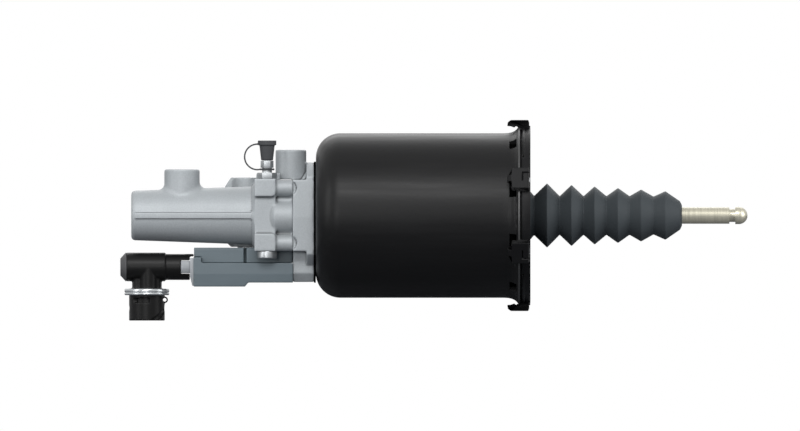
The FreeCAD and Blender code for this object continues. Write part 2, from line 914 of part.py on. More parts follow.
def relay_barrel():
    """The upright barrel of the relay valve, with its neck to the block."""
    barrel = rod_z(relay_radius, relay_bottom, relay_top, relay_x, relay_y)
    neck = box(
        (relay_x, relay_y - relay_neck_half_width, relay_bottom + relay_neck_inset),
        (cylinder_right_x + relay_neck_inset, rear_back_y, relay_top - relay_neck_inset),
    )
    left, half = relay_rib_left_x, relay_rib_half_width
    rib = extruded([
        (relay_x, relay_y - half, relay_top), (left + relay_rib_slope, relay_y - half, relay_top),
        (left, relay_y - half, relay_top - relay_rib_height),
        (left, relay_y - half, relay_bottom + relay_rib_slope),
        (left + relay_rib_slope, relay_y - half, relay_bottom), (relay_x, relay_y - half, relay_bottom),
    ], V(0, 2 * half, 0))
    return [barrel, neck, rib]


def relay_cap_low():
    """The lower end of the exhaust cap's thread."""
    return relay_top - relay_cap_height - relay_cap_thread_length


def hydraulic_housing():
    """One casting: the tapered cylinder, the valve block and the relay barrel."""
    body = tapered_cylinder().fuse(block_body() + relay_barrel())
    bleed_bottom = plate_top - bleed_thread_length
    cuts = [
        rod_x(hydraulic_bore_radius, hydraulic_bore_left_x, split_x + 1),
        rod_x(rod_seal_radius, split_x - rod_seal_length, split_x + 1),
        rod_z(hydraulic_port_hole_radius, hydraulic_port_top - hydraulic_port_depth, hydraulic_port_top + 1,
              hydraulic_port_x, 0),
        rod_z(drilling_radius, 0, hydraulic_port_top, hydraulic_port_x, 0),
        rod_z(gallery_radius, plate_bottom, bleed_bottom + 1, gallery_x, gallery_y),
        rod_z(bleed_thread_radius + running_gap, bleed_bottom, plate_top + 1, gallery_x, gallery_y),
        rod_z(plug_thread_radius, plate_bottom - 1, plate_bottom + plug_thread_length, gallery_x, gallery_y),
        Part.makeCylinder(drilling_radius, -gallery_y, V(gallery_x, gallery_y, 0), Y_AXIS),
        rod_z(relay_bore_radius, relay_bottom - 1, relay_top + 1, relay_x, relay_y),
        rod_z(relay_plug_thread_radius, relay_bottom - 1, relay_bottom + relay_plug_thread_length,
              relay_x, relay_y),
        rod_z(relay_plug_thread_radius, relay_cap_low(), relay_top + 1, relay_x, relay_y),
        rod_z(relay_cap_radius + assembly_gap, relay_top - relay_cap_height, relay_top + 1, relay_x, relay_y),
        Part.makeCylinder(drilling_radius, relay_y, V(relay_x, 0, 0), Y_AXIS),
    ]
    for y, z in screw_places():
        cuts.append(rod_x(screw_thread_radius, screw_tip_x() - thread_runout, split_x + 1, y, z))
    return body.cut(cuts)


def screw_tip_x():
    """The left end of the screws that join the block and the flange."""
    return flange_right_x - screw_head_length - screw_length


def housing_screws():
    """Four socket screws, put in from the can's side of the flange."""
    screws = []
    seat = flange_right_x - screw_head_length
    for y, z in screw_places():
        shank = rod_x(screw_thread_radius, screw_tip_x(), seat, y, z)
        head = rod_x(screw_head_radius, seat, flange_right_x, y, z)
        drive = hexagon_x(screw_head_radius, seat + screw_head_length / 2, flange_right_x + 1, y, z)
        screws.append(shank.fuse(head).cut(drive))
    return Part.makeCompound(screws)


def flange_housing():
    """Cast flange with the air port boss, the hub in the can and the lower extension."""
    right = flange_right_x
    front = flange_front_y
    half = flange_half_height
    back = -front
    corner = half - flange_back_bevel
    outline = [
        (split_x, front + flange_face_rise, -half), (split_x, front, flange_face_crease_z),
        (split_x, front + flange_face_rise, half), (split_x, back - flange_back_bevel, half),
        (split_x, back, corner), (split_x, back, -corner), (split_x, back - flange_back_bevel, -half),
    ]
    wide = extension_half_width
    narrow = wide - extension_bevel_depth
    crease = extension_bottom + extension_bevel_height
    foot = [
        (extension_left_x, -wide, 0), (extension_left_x, -wide, crease),
        (extension_left_x, -narrow, extension_bottom), (extension_left_x, narrow, extension_bottom),
        (extension_left_x, wide, crease), (extension_left_x, wide, 0),
    ]
    port = rod_z(air_port_radius, half - 2, air_port_top, air_port_x, air_port_y)
    port = softened(port, port_edge, at_height(air_port_top))
    port = port.cut(box(
        (split_x - 3 * air_port_radius, air_port_y - 2 * air_port_radius, 0),
        (split_x, air_port_y + 2 * air_port_radius, air_port_bottom),
    ))
    disc_left = right - flange_plate_thickness
    gusset = extruded([
        (gusset_left_x, gusset_front_y, half - 1), (disc_left, gusset_front_y, gusset_top),
        (right, gusset_front_y, gusset_top), (right, gusset_front_y, half - 1),
    ], V(0, gusset_back_y - gusset_front_y, 0))
    body = extruded(outline, V(right - split_x, 0, 0)).fuse([
        flange_disc(disc_left, right, 0),
        extruded(foot, V(right - extension_left_x, 0, 0)),
        rod_x(can_hole_radius, right - 1, flange_hub_right_x),
        port, gusset,
    ])
    cuts = [
        rod_x(plunger_radius + loose_gap, split_x - 1, flange_hub_right_x + 1),
        rod_x(bush_radius, bush_left_x, flange_hub_right_x + 1),
        rod_z(air_port_hole_radius, air_port_top - air_port_depth, air_port_top + 1, air_port_x, air_port_y),
        rod_x(drilling_radius, air_port_x, right + 1, air_passage_y, air_passage_z),
        rod_x(plunger_hole_radius, extension_left_x - 1, right + 1, sensor_axis_y, sensor_z),
        ring_groove(),
    ]
    notch_back = front + flange_face_rise + flange_notch_depth
    for z in (-screw_z, screw_z):
        cuts.append(rod_y(flange_notch_radius, front - 1, notch_back, flange_notch_x, z))
    for y, z in screw_places():
        cuts.append(rod_x(screw_thread_radius + assembly_gap, split_x - 1, right, y, z))
        cuts.append(rod_x(screw_head_radius + assembly_gap, right - screw_head_length, right + 1, y, z))
    tip = can_floor_x + clamp_ring_thickness - can_screw_length
    for y, z in can_screw_places():
        cuts.append(rod_x(can_screw_radius, tip, right + 1, y, z))
    return body.cut(cuts)


def ring_groove():
    """The groove for the ring seal in the flange's left face."""
    low = ring_seal_radius - ring_seal_wire / 2 - running_gap
    high = ring_seal_radius + ring_seal_wire / 2 + running_gap
    right = split_x + ring_seal_groove
    return turned([(split_x - 1, low), (right, low), (right, high), (split_x - 1, high)])


def ring_seal():
    """Ring seal between the block and the flange, squeezed to its groove's depth."""
    half = ring_seal_groove / 2
    seal = Part.makeTorus(ring_seal_radius, half, V(split_x + half, 0, 0), X_AXIS)
    return seal


def guide_bush():
    """Bush in the flange that guides the plunger."""
    bush = rod_x(bush_radius, bush_left_x, flange_hub_right_x - 2 * circlip_thickness)
    return bush.cut(rod_x(plunger_radius + running_gap, bush_left_x - 1, flange_hub_right_x + 1))


def bush_circlip():
    """Ring that keeps the bush in the flange's hub."""
    right = flange_hub_right_x - circlip_thickness / 2
    left = flange_hub_right_x - 2 * circlip_thickness
    ring = rod_x(bush_radius, left, right)
    half = bush_circlip_opening / 2
    gap = box((left - 1, -bush_radius - 1, -half), (right + 1, 0, half))
    return ring.cut([rod_x(bush_radius - bush_circlip_width, left - 1, right + 1), gap])


def rod_seal():
    """Rubber seal round the plunger in the block's right end."""
    seal = rod_x(rod_seal_radius, split_x - rod_seal_length, split_x)
    return seal.cut(rod_x(plunger_radius + running_gap, split_x - rod_seal_length - 1, split_x + 1))


def relay_floor():
    """The height of the relay spool's lower end at rest."""
    return relay_bottom + relay_plug_thread_length + relay_spring_length


def relay_spool():
    """Spool with three lands in the relay bore."""
    low = relay_floor()
    high = low + spool_length
    land = relay_bore_radius - running_gap
    pieces = [rod_z(spool_waist_radius, low, high, relay_x, relay_y)]
    for start in (low, (low + high - spool_land_length) / 2, high - spool_land_length):
        pieces.append(rod_z(land, start, start + spool_land_length, relay_x, relay_y))
    return pieces[0].fuse(pieces[1:])


def relay_spring():
    """Return spring between the lower plug and the spool."""
    low = relay_bottom + relay_plug_thread_length
    base = V(relay_x, relay_y, low)
    return coil(relay_spring_wire, relay_spring_radius, relay_spring_turns, relay_floor() - low, base, Z_AXIS)


def relay_lower_plug():
    """Hexagon plug under the relay barrel."""
    head = hexagon(relay_plug_width, relay_bottom - relay_plug_head, relay_bottom, relay_x, relay_y)
    return head.fuse(rod_z(
        relay_plug_thread_radius, relay_bottom, relay_bottom + relay_plug_thread_length, relay_x, relay_y,
    ))


def relay_exhaust_cap():
    """Exhaust cap sunk in the top of the relay barrel, open through its middle."""
    low = relay_cap_low()
    head = rod_z(relay_cap_radius, relay_top - relay_cap_height, relay_top, relay_x, relay_y)
    head = softened(head, relay_cap_edge, at_height(relay_top))
    stem = rod_z(relay_plug_thread_radius, low, relay_top - relay_cap_height, relay_x, relay_y)
    return head.fuse(stem).cut(rod_z(spool_waist_radius, low - 1, relay_top + 1, relay_x, relay_y))


def bleed_screw():
    """Hexagon bleed screw with a cone tip, a collar and a nipple."""
    low = plate_top - bleed_thread_length
    tip = low + assembly_gap
    cone_height = bleed_thread_radius - bleed_seat_radius
    x, y = gallery_x, gallery_y
    body = rod_z(bleed_thread_radius, tip + cone_height, plate_top + 1, x, y)
    body = body.fuse([
        Part.makeCone(bleed_seat_radius, bleed_thread_radius, cone_height, V(x, y, tip), Z_AXIS),
        hexagon(bleed_hex_width, plate_top + assembly_gap, bleed_hex_top, x, y),
        rod_z(bleed_neck_radius, bleed_hex_top, bleed_neck_top, x, y),
        hexagon(bleed_upper_width, bleed_neck_top, cap_bottom - assembly_gap, x, y),
        rod_z(bleed_nipple_radius, bleed_neck_top, bleed_nipple_top, x, y),
    ])
    cross_z = tip + cone_height + bleed_bore_radius
    bore = rod_z(bleed_bore_radius, cross_z, bleed_nipple_top + 1, x, y)
    reach = bleed_thread_radius + 1
    cross = rod_x(bleed_bore_radius, x - reach, x + reach, y, cross_z + bleed_bore_radius)
    return body.cut([bore, cross])


def bleed_cap():
    """Rubber cap, strap and ring in one moulding."""
    x, y = gallery_x, gallery_y
    height = cap_rim_bottom - cap_bottom
    body = Part.makeCone(cap_bottom_radius, cap_top_radius, height, V(x, y, cap_bottom), Z_AXIS)
    body = softened(body, cap_bottom_edge, at_height(cap_bottom))
    rim = rod_z(cap_rim_radius, cap_rim_bottom, cap_top, x, y)
    half = strap_width / 2
    outer = strap_loop_radius + strap_thickness / 2
    inner = outer - strap_thickness
    loop = rod_y(outer, y - half, y + half, strap_loop_x, strap_loop_z)
    loop = loop.cut(rod_y(inner, y - half, y + half, strap_loop_x, strap_loop_z))
    reach = 2 * strap_loop_radius
    loop = loop.common(box(
        (strap_loop_x - reach, y - strap_width, strap_loop_z - reach),
        (x - strap_ring_radius + strap_thickness, y + strap_width, strap_loop_z + reach),
    ))
    ring_top = strap_ring_bottom + strap_ring_height
    ring = rod_z(strap_ring_radius, strap_ring_bottom, ring_top, x, y)
    holes = [
        rod_z(bleed_neck_radius + assembly_gap, strap_ring_bottom - 1, ring_top + 1, x, y),
        rod_z(bleed_nipple_radius + assembly_gap, cap_bottom - 1, cap_cavity_top, x, y),
    ]
    return body.fuse([rim, loop, ring]).cut(holes)


def gallery_plug():
    """Plug at the lower end of the gallery."""
    x, y = gallery_x, gallery_y
    head = rod_z(plug_head_radius, plug_head_bottom, plate_bottom, x, y)
    head = softened(head, plug_edge, at_height(plug_head_bottom))
    thread = rod_z(plug_thread_radius, plate_bottom, plate_bottom + plug_thread_length, x, y)
    socket = hexagon(2 * plug_socket_radius, plug_head_bottom - 1, plug_head_bottom + plug_socket_depth, x, y)
    return head.fuse(thread).cut(socket)


def sensor_body():
    """Lower housing of the travel sensor, with the coil's cavity."""
    front, back = sensor_front_y, sensor_back_y
    outline = [
        (sensor_left_x, front, sensor_bottom), (sensor_thin_x - 1, front, sensor_bottom),
        (sensor_thin_x + 1, front, sensor_thin_bottom), (extension_left_x, front, sensor_thin_bottom),
        (extension_left_x, front, sensor_top), (sensor_step_x, front, sensor_top),
        (sensor_step_x, front, sensor_step_top), (sensor_left_x, front, sensor_step_top),
    ]
    body = extruded(outline, V(0, back - front, 0))
    start = sensor_left_x - 1
    slope = [
        (start, front - 1, sensor_crease_z), (start, front, sensor_crease_z),
        (start, front + sensor_slope, sensor_bottom - 1), (start, front - 1, sensor_bottom - 1),
    ]
    cuts = [
        extruded(slope, V(extension_left_x - sensor_left_x + 2, 0, 0)),
        rod_x(coil_radius + assembly_gap, sensor_cavity_left_x, coil_right_x, sensor_axis_y, sensor_z),
        rod_x(plunger_hole_radius, coil_right_x - 1, extension_left_x + 1, sensor_axis_y, sensor_z),
    ]
    tip = screw_seat_z() - sensor_screw_length
    for x in sensor_screw_xs:
        cuts.append(rod_z(sensor_screw_radius, tip, sensor_top + 1, x, sensor_screw_y))
    return body.cut(cuts)


def screw_seat_z():
    """The height of the seats under the sensor screws' heads."""
    return sensor_cover_top - sensor_screw_head_height


def sensor_cover():
    """Upper half of the travel sensor, with a groove across it."""
    cover = box(
        (sensor_cover_left_x, sensor_cover_front_y, sensor_top),
        (split_x - assembly_gap, sensor_back_y, sensor_cover_top),
    )
    cover = softened(cover, sensor_cover_edge, cover_top_edge)
    half = sensor_cover_groove / 2
    cuts = [box(
        (sensor_cover_split_x - half, sensor_cover_front_y - 1, sensor_top - 1),
        (sensor_cover_split_x + half, sensor_cover_front_y + sensor_cover_groove_depth, sensor_cover_top + 1),
    )]
    if sensor_cover_left_x < sensor_step_x:
        cuts.append(box(
            (sensor_left_x - 1, sensor_front_y - 1, sensor_top - 1),
            (sensor_step_x + assembly_gap, sensor_back_y + 1, sensor_step_top + assembly_gap),
        ))
    hole = sensor_screw_radius + assembly_gap
    counterbore = sensor_screw_head_radius + assembly_gap
    for x in sensor_screw_xs:
        cuts.append(rod_z(hole, sensor_top - 1, sensor_cover_top + 1, x, sensor_screw_y))
        cuts.append(rod_z(counterbore, screw_seat_z(), sensor_cover_top + 1, x, sensor_screw_y))
    return cover.cut(cuts)


def cover_top_edge(edge):
    """True for the two upper edges along the sensor cover."""
    along = edge.BoundBox.XLength > sensor_cover_edge
    return along and edge.CenterOfMass.z > sensor_cover_top - sensor_cover_edge


def sensor_screws():
    """Two screws that hold the sensor's halves together."""
    screws = []
    seat = screw_seat_z()
    for x in sensor_screw_xs:
        shank = rod_z(sensor_screw_radius, seat - sensor_screw_length, seat, x, sensor_screw_y)
        head = rod_z(sensor_screw_head_radius, seat, sensor_cover_top, x, sensor_screw_y)
        drive = hexagon(sensor_screw_drive, seat + 1, sensor_cover_top + 1, x, sensor_screw_y)
        screws.append(shank.fuse(head).cut(drive))
    return Part.makeCompound(screws)


def sensor_coil():
    """Coil former and winding of the travel sensor, as one tube."""
    tube = rod_x(coil_radius, sensor_cavity_left_x, coil_right_x, sensor_axis_y, sensor_z)
    left, right = sensor_cavity_left_x - 1, coil_right_x + 1
    return tube.cut(rod_x(plunger_hole_radius, left, right, sensor_axis_y, sensor_z))


def sensor_plunger():
    """Rod that follows the air piston, with a foot on the piston's web."""
    shaft = rod_x(sensor_plunger_radius, sensor_plunger_left_x, piston_web_x, sensor_axis_y, sensor_z)
    foot = rod_x(sensor_foot_radius, piston_web_x - sensor_foot_length, piston_web_x, sensor_axis_y, sensor_z)
    return shaft.fuse(foot)


def sensor_end_plate():
    """Plate that closes the sensor's left end."""
    low, high = sensor_bottom + sensor_plate_margin, sensor_step_top - sensor_plate_margin
    left = sensor_left_x - sensor_plate_thickness
    front = sensor_front_y
    outline = [
        (left, front, high), (left, front, sensor_crease_z), (left, front + sensor_slope, low),
        (left, sensor_back_y - 1, low), (left, sensor_back_y - 1, high),
    ]
    plate = extruded(outline, V(sensor_plate_thickness, 0, 0))
    corner = extruded([
        (left - 1, front - 1, low - 1), (left + sensor_plate_corner, front - 1, low - 1),
        (left + sensor_plate_corner, front - 1, low), (left, front - 1, low + 4 * sensor_plate_corner),
        (left - 1, front - 1, low + 4 * sensor_plate_corner),
    ], V(0, sensor_back_y - front + 2, 0))
    return plate.cut(corner)


def sensor_fitting():
    """Keyed fitting in the elbow's fork, with a spigot that holds the elbow."""
    right = sensor_left_x - sensor_plate_thickness
    head = rod_x(fitting_radius, fitting_left_x, right, elbow_y, elbow_z)
    head = head.common(box(
        (fitting_left_x, elbow_y - fitting_radius, elbow_z - fitting_width / 2),
        (right, elbow_y + fitting_radius, elbow_z + fitting_width / 2),
    ))
    spigot_radius = elbow_tube_radius - elbow_wall - running_gap
    spigot = rod_x(spigot_radius, fitting_left_x - fitting_spigot_length, fitting_left_x, elbow_y, elbow_z)
    bore = rod_x(pin_circle / 2, fitting_left_x - fitting_spigot_length - 1, right - 1, elbow_y, elbow_z)
    return head.fuse(spigot).cut(bore)


def elbow_housing():
    """Black elbow with its stem and the open bayonet barrel below, in one moulding."""
    bore = elbow_tube_radius - elbow_wall
    stem_bore = bore - stem_bore_step
    barrel_bore = barrel_radius - barrel_wall
    fork_half = fitting_width / 2 + fork_gap
    body = rod_x(elbow_radius, elbow_left_x, elbow_step_x, elbow_y, elbow_z)
    stem_front = elbow_y - stem_radius
    flat = box(
        (stem_x - stem_radius, stem_front, barrel_top),
        (stem_x + stem_radius, stem_front + stem_flat, elbow_z),
    )
    eyelet_x = stem_x + barrel_radius
    body = body.fuse([
        rod_x(elbow_tube_radius, elbow_step_x, elbow_right_x, elbow_y, elbow_z),
        rod_z(stem_radius, barrel_top, elbow_z, stem_x, elbow_y).cut(flat),
        rod_z(column_radius, barrel_top, elbow_z, column_x, elbow_y - elbow_radius + column_radius),
        rod_z(barrel_radius, barrel_bottom, barrel_top, stem_x, elbow_y),
        box(
            (elbow_right_x - elbow_wall, elbow_y - latch_half_width, latch_bottom),
            (latch_right_x, elbow_y + latch_half_width, elbow_z + elbow_tube_radius),
        ),
        rod_y(eyelet_radius, elbow_y - eyelet_half_width, elbow_y + eyelet_half_width, eyelet_x, eyelet_z),
    ])
    cuts = [
        rod_x(bore, elbow_left_x - 1, elbow_right_x + 1, elbow_y, elbow_z),
        rod_z(stem_bore, carrier_top - 1, elbow_z, stem_x, elbow_y),
        rod_z(barrel_bore, barrel_bottom - 1, carrier_top, stem_x, elbow_y),
        box(
            (fitting_left_x - fork_gap, elbow_y - elbow_radius, elbow_z - fork_half),
            (elbow_right_x + 1, elbow_y + elbow_radius, elbow_z + fork_half),
        ),
        rod_y(eyelet_hole_radius, elbow_y - barrel_radius, elbow_y + barrel_radius, eyelet_x, eyelet_z),
        box(
            (stem_x + window_x - window_width / 2, elbow_y - 2 * barrel_radius, window_z - window_height / 2),
            (stem_x + window_x + window_width / 2, elbow_y - barrel_bore + 2, window_z + window_height / 2),
        ),
    ]
    body = body.cut(cuts)
    for side in (0.0, 180.0):
        for cutter in bayonet_groove(side):
            body = body.cut(cutter)
    return body


def bayonet_groove(side):
    """Cutters along a rising path round the barrel, from its open end up to the lock."""
    cutters = []
    for step in range(bayonet_steps + 1):
        share = step / bayonet_steps
        angle = math.radians(side + bayonet_start + bayonet_turn * share)
        height = barrel_bottom + bayonet_rise * share
        outward = V(math.sin(angle), -math.cos(angle), 0)
        start = V(stem_x, elbow_y, height) + outward * (barrel_radius - bayonet_depth)
        cutters.append(Part.makeCylinder(bayonet_width / 2, 2 * bayonet_depth, start, outward))
    return cutters


def elbow_end_cap():
    """Chamfered cap in the elbow's left end."""
    left = elbow_left_x - elbow_cap_length
    plug = elbow_tube_radius - elbow_wall - running_gap
    cap = turned([
        (left, 0), (left, elbow_radius - elbow_cap_edge), (elbow_left_x - elbow_cap_band, elbow_radius),
        (elbow_left_x, elbow_radius), (elbow_left_x, plug), (elbow_left_x + elbow_cap_length, plug),
        (elbow_left_x + elbow_cap_length, 0),
    ])
    cap.translate(V(0, elbow_y, elbow_z))
    return cap


def connector_ring():
    """Open metal ring at the top of the bayonet barrel."""
    ring = rod_z(ring_radius, ring_bottom, barrel_top, stem_x, elbow_y)
    hole = rod_z(ring_hole_radius, ring_bottom - 1, barrel_top + 1, stem_x, elbow_y)
    gap = box(
        (stem_x + ring_hole_radius * 0.8, elbow_y - ring_opening / 2, ring_bottom - 1),
        (stem_x + ring_radius + 1, elbow_y + ring_opening / 2, barrel_top + 1),
    )
    return ring.cut([hole, gap])


def pin_places():
    """Centres of the four contact pins."""
    turns = [math.radians(90 * index + 45) for index in range(4)]
    return [(stem_x + pin_circle * math.cos(turn), elbow_y + pin_circle * math.sin(turn)) for turn in turns]


def contact_carrier():
    """Plastic insert that holds the contact pins in the barrel."""
    radius = barrel_radius - barrel_wall - running_gap
    carrier = rod_z(radius, carrier_bottom, carrier_top, stem_x, elbow_y)
    holes = [rod_z(pin_radius, carrier_bottom - 1, carrier_top + 1, x, y) for x, y in pin_places()]
    return carrier.cut(holes)


def contact_pins():
    """Four brass contact pins with rounded tips."""
    pins = []
    for x, y in pin_places():
        pin = rod_z(pin_radius, pin_bottom, pin_top, x, y)
        pins.append(softened(pin, pin_radius / 2, at_height(pin_bottom)))
    return Part.makeCompound(pins)


PIECES = (
    cylinder_can, can_gasket, can_clamp_ring, can_screws, end_cover, cover_clips, bellows, preload_spring,
    air_piston, piston_seal, piston_guide_band, piston_nut, hydraulic_plunger, plunger_cup,
    pushrod_seat, seat_circlip, pushrod, hydraulic_housing, housing_screws, flange_housing,
    ring_seal, guide_bush, bush_circlip, rod_seal, relay_spool, relay_spring, relay_lower_plug,
    relay_exhaust_cap, bleed_screw, bleed_cap, gallery_plug, sensor_body, sensor_cover, sensor_screws,
    sensor_coil, sensor_plunger, sensor_end_plate, sensor_fitting, elbow_housing, elbow_end_cap,
    connector_ring, contact_carrier, contact_pins,
)

os.makedirs("parts", exist_ok=True)
for piece in PIECES:
    save(piece.__name__, piece())
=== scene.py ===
import json
import math

import bpy
import numpy as np
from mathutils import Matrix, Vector


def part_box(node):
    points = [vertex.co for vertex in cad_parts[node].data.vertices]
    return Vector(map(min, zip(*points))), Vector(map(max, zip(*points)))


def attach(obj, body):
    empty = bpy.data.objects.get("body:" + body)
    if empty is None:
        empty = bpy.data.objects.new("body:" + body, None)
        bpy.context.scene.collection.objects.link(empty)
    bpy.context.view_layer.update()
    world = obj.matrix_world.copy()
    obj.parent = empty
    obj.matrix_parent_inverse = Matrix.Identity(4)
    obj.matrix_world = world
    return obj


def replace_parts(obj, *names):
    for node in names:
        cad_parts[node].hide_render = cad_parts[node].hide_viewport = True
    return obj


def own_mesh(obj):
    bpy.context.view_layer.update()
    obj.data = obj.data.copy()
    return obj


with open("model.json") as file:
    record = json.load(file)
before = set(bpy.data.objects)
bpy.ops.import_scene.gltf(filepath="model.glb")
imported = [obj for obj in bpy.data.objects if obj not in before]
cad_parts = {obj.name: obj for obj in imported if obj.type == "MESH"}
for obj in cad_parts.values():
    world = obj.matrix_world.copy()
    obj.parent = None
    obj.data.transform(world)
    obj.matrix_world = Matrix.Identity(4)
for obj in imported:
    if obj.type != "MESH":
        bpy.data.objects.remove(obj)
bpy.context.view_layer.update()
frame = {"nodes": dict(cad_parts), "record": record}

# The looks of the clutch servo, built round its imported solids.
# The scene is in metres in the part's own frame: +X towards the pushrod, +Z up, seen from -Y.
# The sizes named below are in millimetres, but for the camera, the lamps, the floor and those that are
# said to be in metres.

MM = 0.001
TURN = 2.0 * math.pi

# The photograph's side view: the middle of its width, and how wide it is
view_middle_x = -0.0848
view_width = 0.52
camera_distance = 1.4
floor_height = -0.069

# The lamps: place, the point that each faces, size and power
LAMPS = {
    "key": ((-0.12, -1.05, 0.78), (-0.1, 0, 0), (0.8, 0.45), 11.0),
    "front": ((-0.45, -1.3, 0.1), (-0.1, 0, 0), (0.5, 0.4), 3.8),
    "right": ((0.42, -0.2, 0.12), (0.05, 0, 0), (0.3, 0.35), 1.5),
    "left": ((-1.0, -0.5, 0.3), (-0.2, 0, 0), (0.3, 0.7), 3.5),
    "back": ((0.0, 1.1, 0.8), (-0.1, 0, 0), (1.2, 0.7), 5.0),
}

# The room's light, and the floor: half its width, its colours as seen, its grain, and as other rays meet it
room_colour = (0.82, 0.85, 0.9, 1.0)
room_strength = 0.24
floor_reach = 3.0
floor_colours = ((0.84, 0.84, 0.84, 1.0), (0.87, 0.87, 0.87, 1.0))
floor_fibre = 300.0
floor_shade = (0.22, 0.23, 0.25, 1.0)

# How the solids' copies are welded, in metres, softened and bevelled, and from which angles edges look sharp
weld_distance = 0.00001
softening = 0.5
flat_degrees = 0.5
bevel_degrees = 32
bevel_segments = 3
eased_sharp_degrees = 28
can_sharp_degrees = 35
ring_sharp_degrees = 40

# Castings and mouldings: piece, node, finish, cell in metres and rounds of softening
CAST_FORMS = (
    ("hydraulic_casting", "hydraulic_housing", "cast_aluminium", 0.0007, 3),
    ("flange_casting", "flange_housing", "cast_aluminium", 0.00055, 3),
    ("elbow_moulding", "elbow_housing", "black_plastic", 0.0004, 2),
    ("sensor_lower_moulding", "sensor_body", "sensor_plastic", 0.0005, 2),
    ("sensor_upper_moulding", "sensor_cover", "sensor_plastic", 0.0005, 2),
    ("cap_moulding", "bleed_cap", "cap_rubber", 0.0003, 2),
)
# The casting whose bore is brought out to its radius again after the softening
bored_node = "hydraulic_housing"

# Small machined and moulded pieces: piece, node, finish, width of the bevel and body
EASED_FORMS = (
    ("fitting_moulding", "sensor_fitting", "plate_plastic", 0.4, "root"),
    ("plate_moulding", "sensor_end_plate", "plate_plastic", 0.3, "root"),
    ("elbow_cap_moulding", "elbow_end_cap", "cap_plastic", 0.3, "root"),
    ("bleed_screw_metal", "bleed_screw", "zinc_steel", 0.25, "bleed_screw"),
    ("gallery_plug_metal", "gallery_plug", "plug_steel", 0.4, "root"),
)

# Threads in the ports: name, middle along the axis and across, the thread's radius, and its upper end
port_threads = (("hydraulic", -226.5, 0.0, 7.5, 29.0), ("air", -155.7, 5.0, 5.5, 41.7))
thread_wire = 0.9
thread_turns = 7
thread_length = 11.0

# The connector's open ring: distance from its own upright axis, and height
ring_x = -249.3
ring_y = -5.0
ring_gap_degrees = 12.0
ring_rounding = 0.25
ring_columns = 181
ring_outline = (
    (11.75, -51.8), (14.1, -51.8), (14.6, -51.3), (14.6, -50.5), (14.15, -50.2), (14.15, -49.9),
    (14.6, -49.6), (14.6, -48.1), (14.0, -47.5), (11.75, -47.5),
)

# Black rubber strips in the sensor's seams, partly a seal and partly a painted shadow that darkens the seams:
# outline along the axis and upwards, and depth
seam_front_y = -4.0
seam_back_y = 10.5
seam_rounding = 0.08
seam_outlines = {
    "end": (
        (-219.0, -27.25), (-213.95, -27.25), (-213.95, -30.7), (-213.55, -30.7), (-213.55, -26.8),
        (-219.0, -26.8),
    ),
    "root": ((-155.0, -30.7), (-154.0, -30.7), (-154.0, -21.5), (-155.0, -21.5)),
}

# The bellows: distance along the axis and radius of each fold
bellows_folds = (
    (0.0, 15.6), (2.4, 12.8), (10.8, 20.9), (19.0, 12.6), (26.7, 19.9), (34.5, 12.6), (41.7, 18.9),
    (49.4, 12.6), (56.9, 17.9), (64.4, 12.6), (71.9, 16.9), (80.0, 12.35), (87.7, 15.8), (97.2, 9.3),
    (98.5, 6.6),
)
bellows_wall = 1.4
bellows_bead_left = -3.8
bellows_bead_right = -1.2
bellows_bead_radius = 18.5
bellows_mouth_length = 3.0
bellows_mouth_wall = 0.8
bellows_mouth_gap = 0.05
bellows_rounding = 0.55
bellows_sides = 144
rod_radius = 5.37

# The springs: wire, radius to its middle, and turns
preload_coil = (3.0, 22.0, 7)
relay_coil = (1.1, 4.2, 5)
relay_coil_sides = 10
relay_coil_runs = 30

# The can: its outline along the axis and outwards, and the windows in its flare
can_left = -139.5
can_radius = 53.5
can_wall = 2.0
can_corner = 16.0
can_floor_hole = 20.1
can_corner_steps = 17
can_wall_rows = (-40.0, -29.25, -18.5)
can_inside_right = -14.0
can_inside_left = -120.0
can_rim_inner = 52.5
can_fine_step = 0.3
can_coarse_step = 1.1
flare_spacing = 0.15
flare_smoothing = 7
can_flare = (
    (-17.5, 53.5), (-14.6, 53.65), (-12.3, 54.1), (-10.4, 54.9), (-9.0, 56.0), (-8.2, 57.1), (-7.7, 57.5),
    (-7.1, 57.5), (-6.7, 57.1), (-6.3, 55.1), (-4.75, 55.1), (-4.45, 56.5), (-2.9, 56.5),
)
rim_bead_sides = 256
rim_bead = ((-8.05, 56.9), (-7.95, 57.5), (-6.85, 57.6), (-6.75, 56.9))
rim_strip = ((-5.5, 55.0), (-5.4, 56.8), (-4.6, 57.3), (-3.8, 57.1), (-3.6, 55.0))
rim_strip_half_degrees = 46
rim_strip_columns = 121
rim_rounding = 0.3
window_left = -13.7
window_right = -9.0
window_half_width = 4.6
window_floor = 51.6
window_middles = (17.8, 58.3, 121.7, 162.2, 197.8, 238.3, 301.7, 342.2)
window_column_half_degrees = 6.0
# A black rubber ring under the windows: a painted shadow that makes the windows read dark
window_shadow_ring_sides = 192
window_shadow_ring = ((-15.0, 51.62), (-15.0, 51.95), (-8.6, 51.95), (-8.6, 51.62))

# The hooks over the rim: outline along the axis and outwards, and the slot in the outer face
hook_angles = (90.0, 23.4, -23.4, -90.0, 203.4, 156.6)
hook_width = 14.6
hook_outline = (
    (-1.4, 62.1), (-0.8, 60.5), (-0.7, 56.1), (-5.2, 56.1), (-5.3, 54.8), (-6.5, 54.8), (-6.9, 57.0),
    (-8.3, 57.3), (-9.4, 58.2), (-10.4, 57.1), (-12.9, 58.0), (-15.1, 58.1), (-14.7, 60.7), (-12.7, 62.1),
)
hook_rounding = 0.5
hook_spacing = 0.25
hook_columns = 59
hook_end_width = 0.6
hook_end_narrowing = (0.045, 0.12)
hook_outer_depth = 0.9
hook_slot_left = -5.2
hook_slot_across = 3.8
hook_slot_end = -1.8
hook_slot_half_width = 0.45
hook_slot_depth = 2.2
hook_slot_open = 1.0
hook_tip_right = -12.0
hook_tip_side = 0.2
hook_tip_share = 0.3
hook_tab = ((-1.7, 56.6), (-1.7, 58.3), (-0.1, 58.3), (-0.1, 56.6))
hook_tab_half_width = 1.9
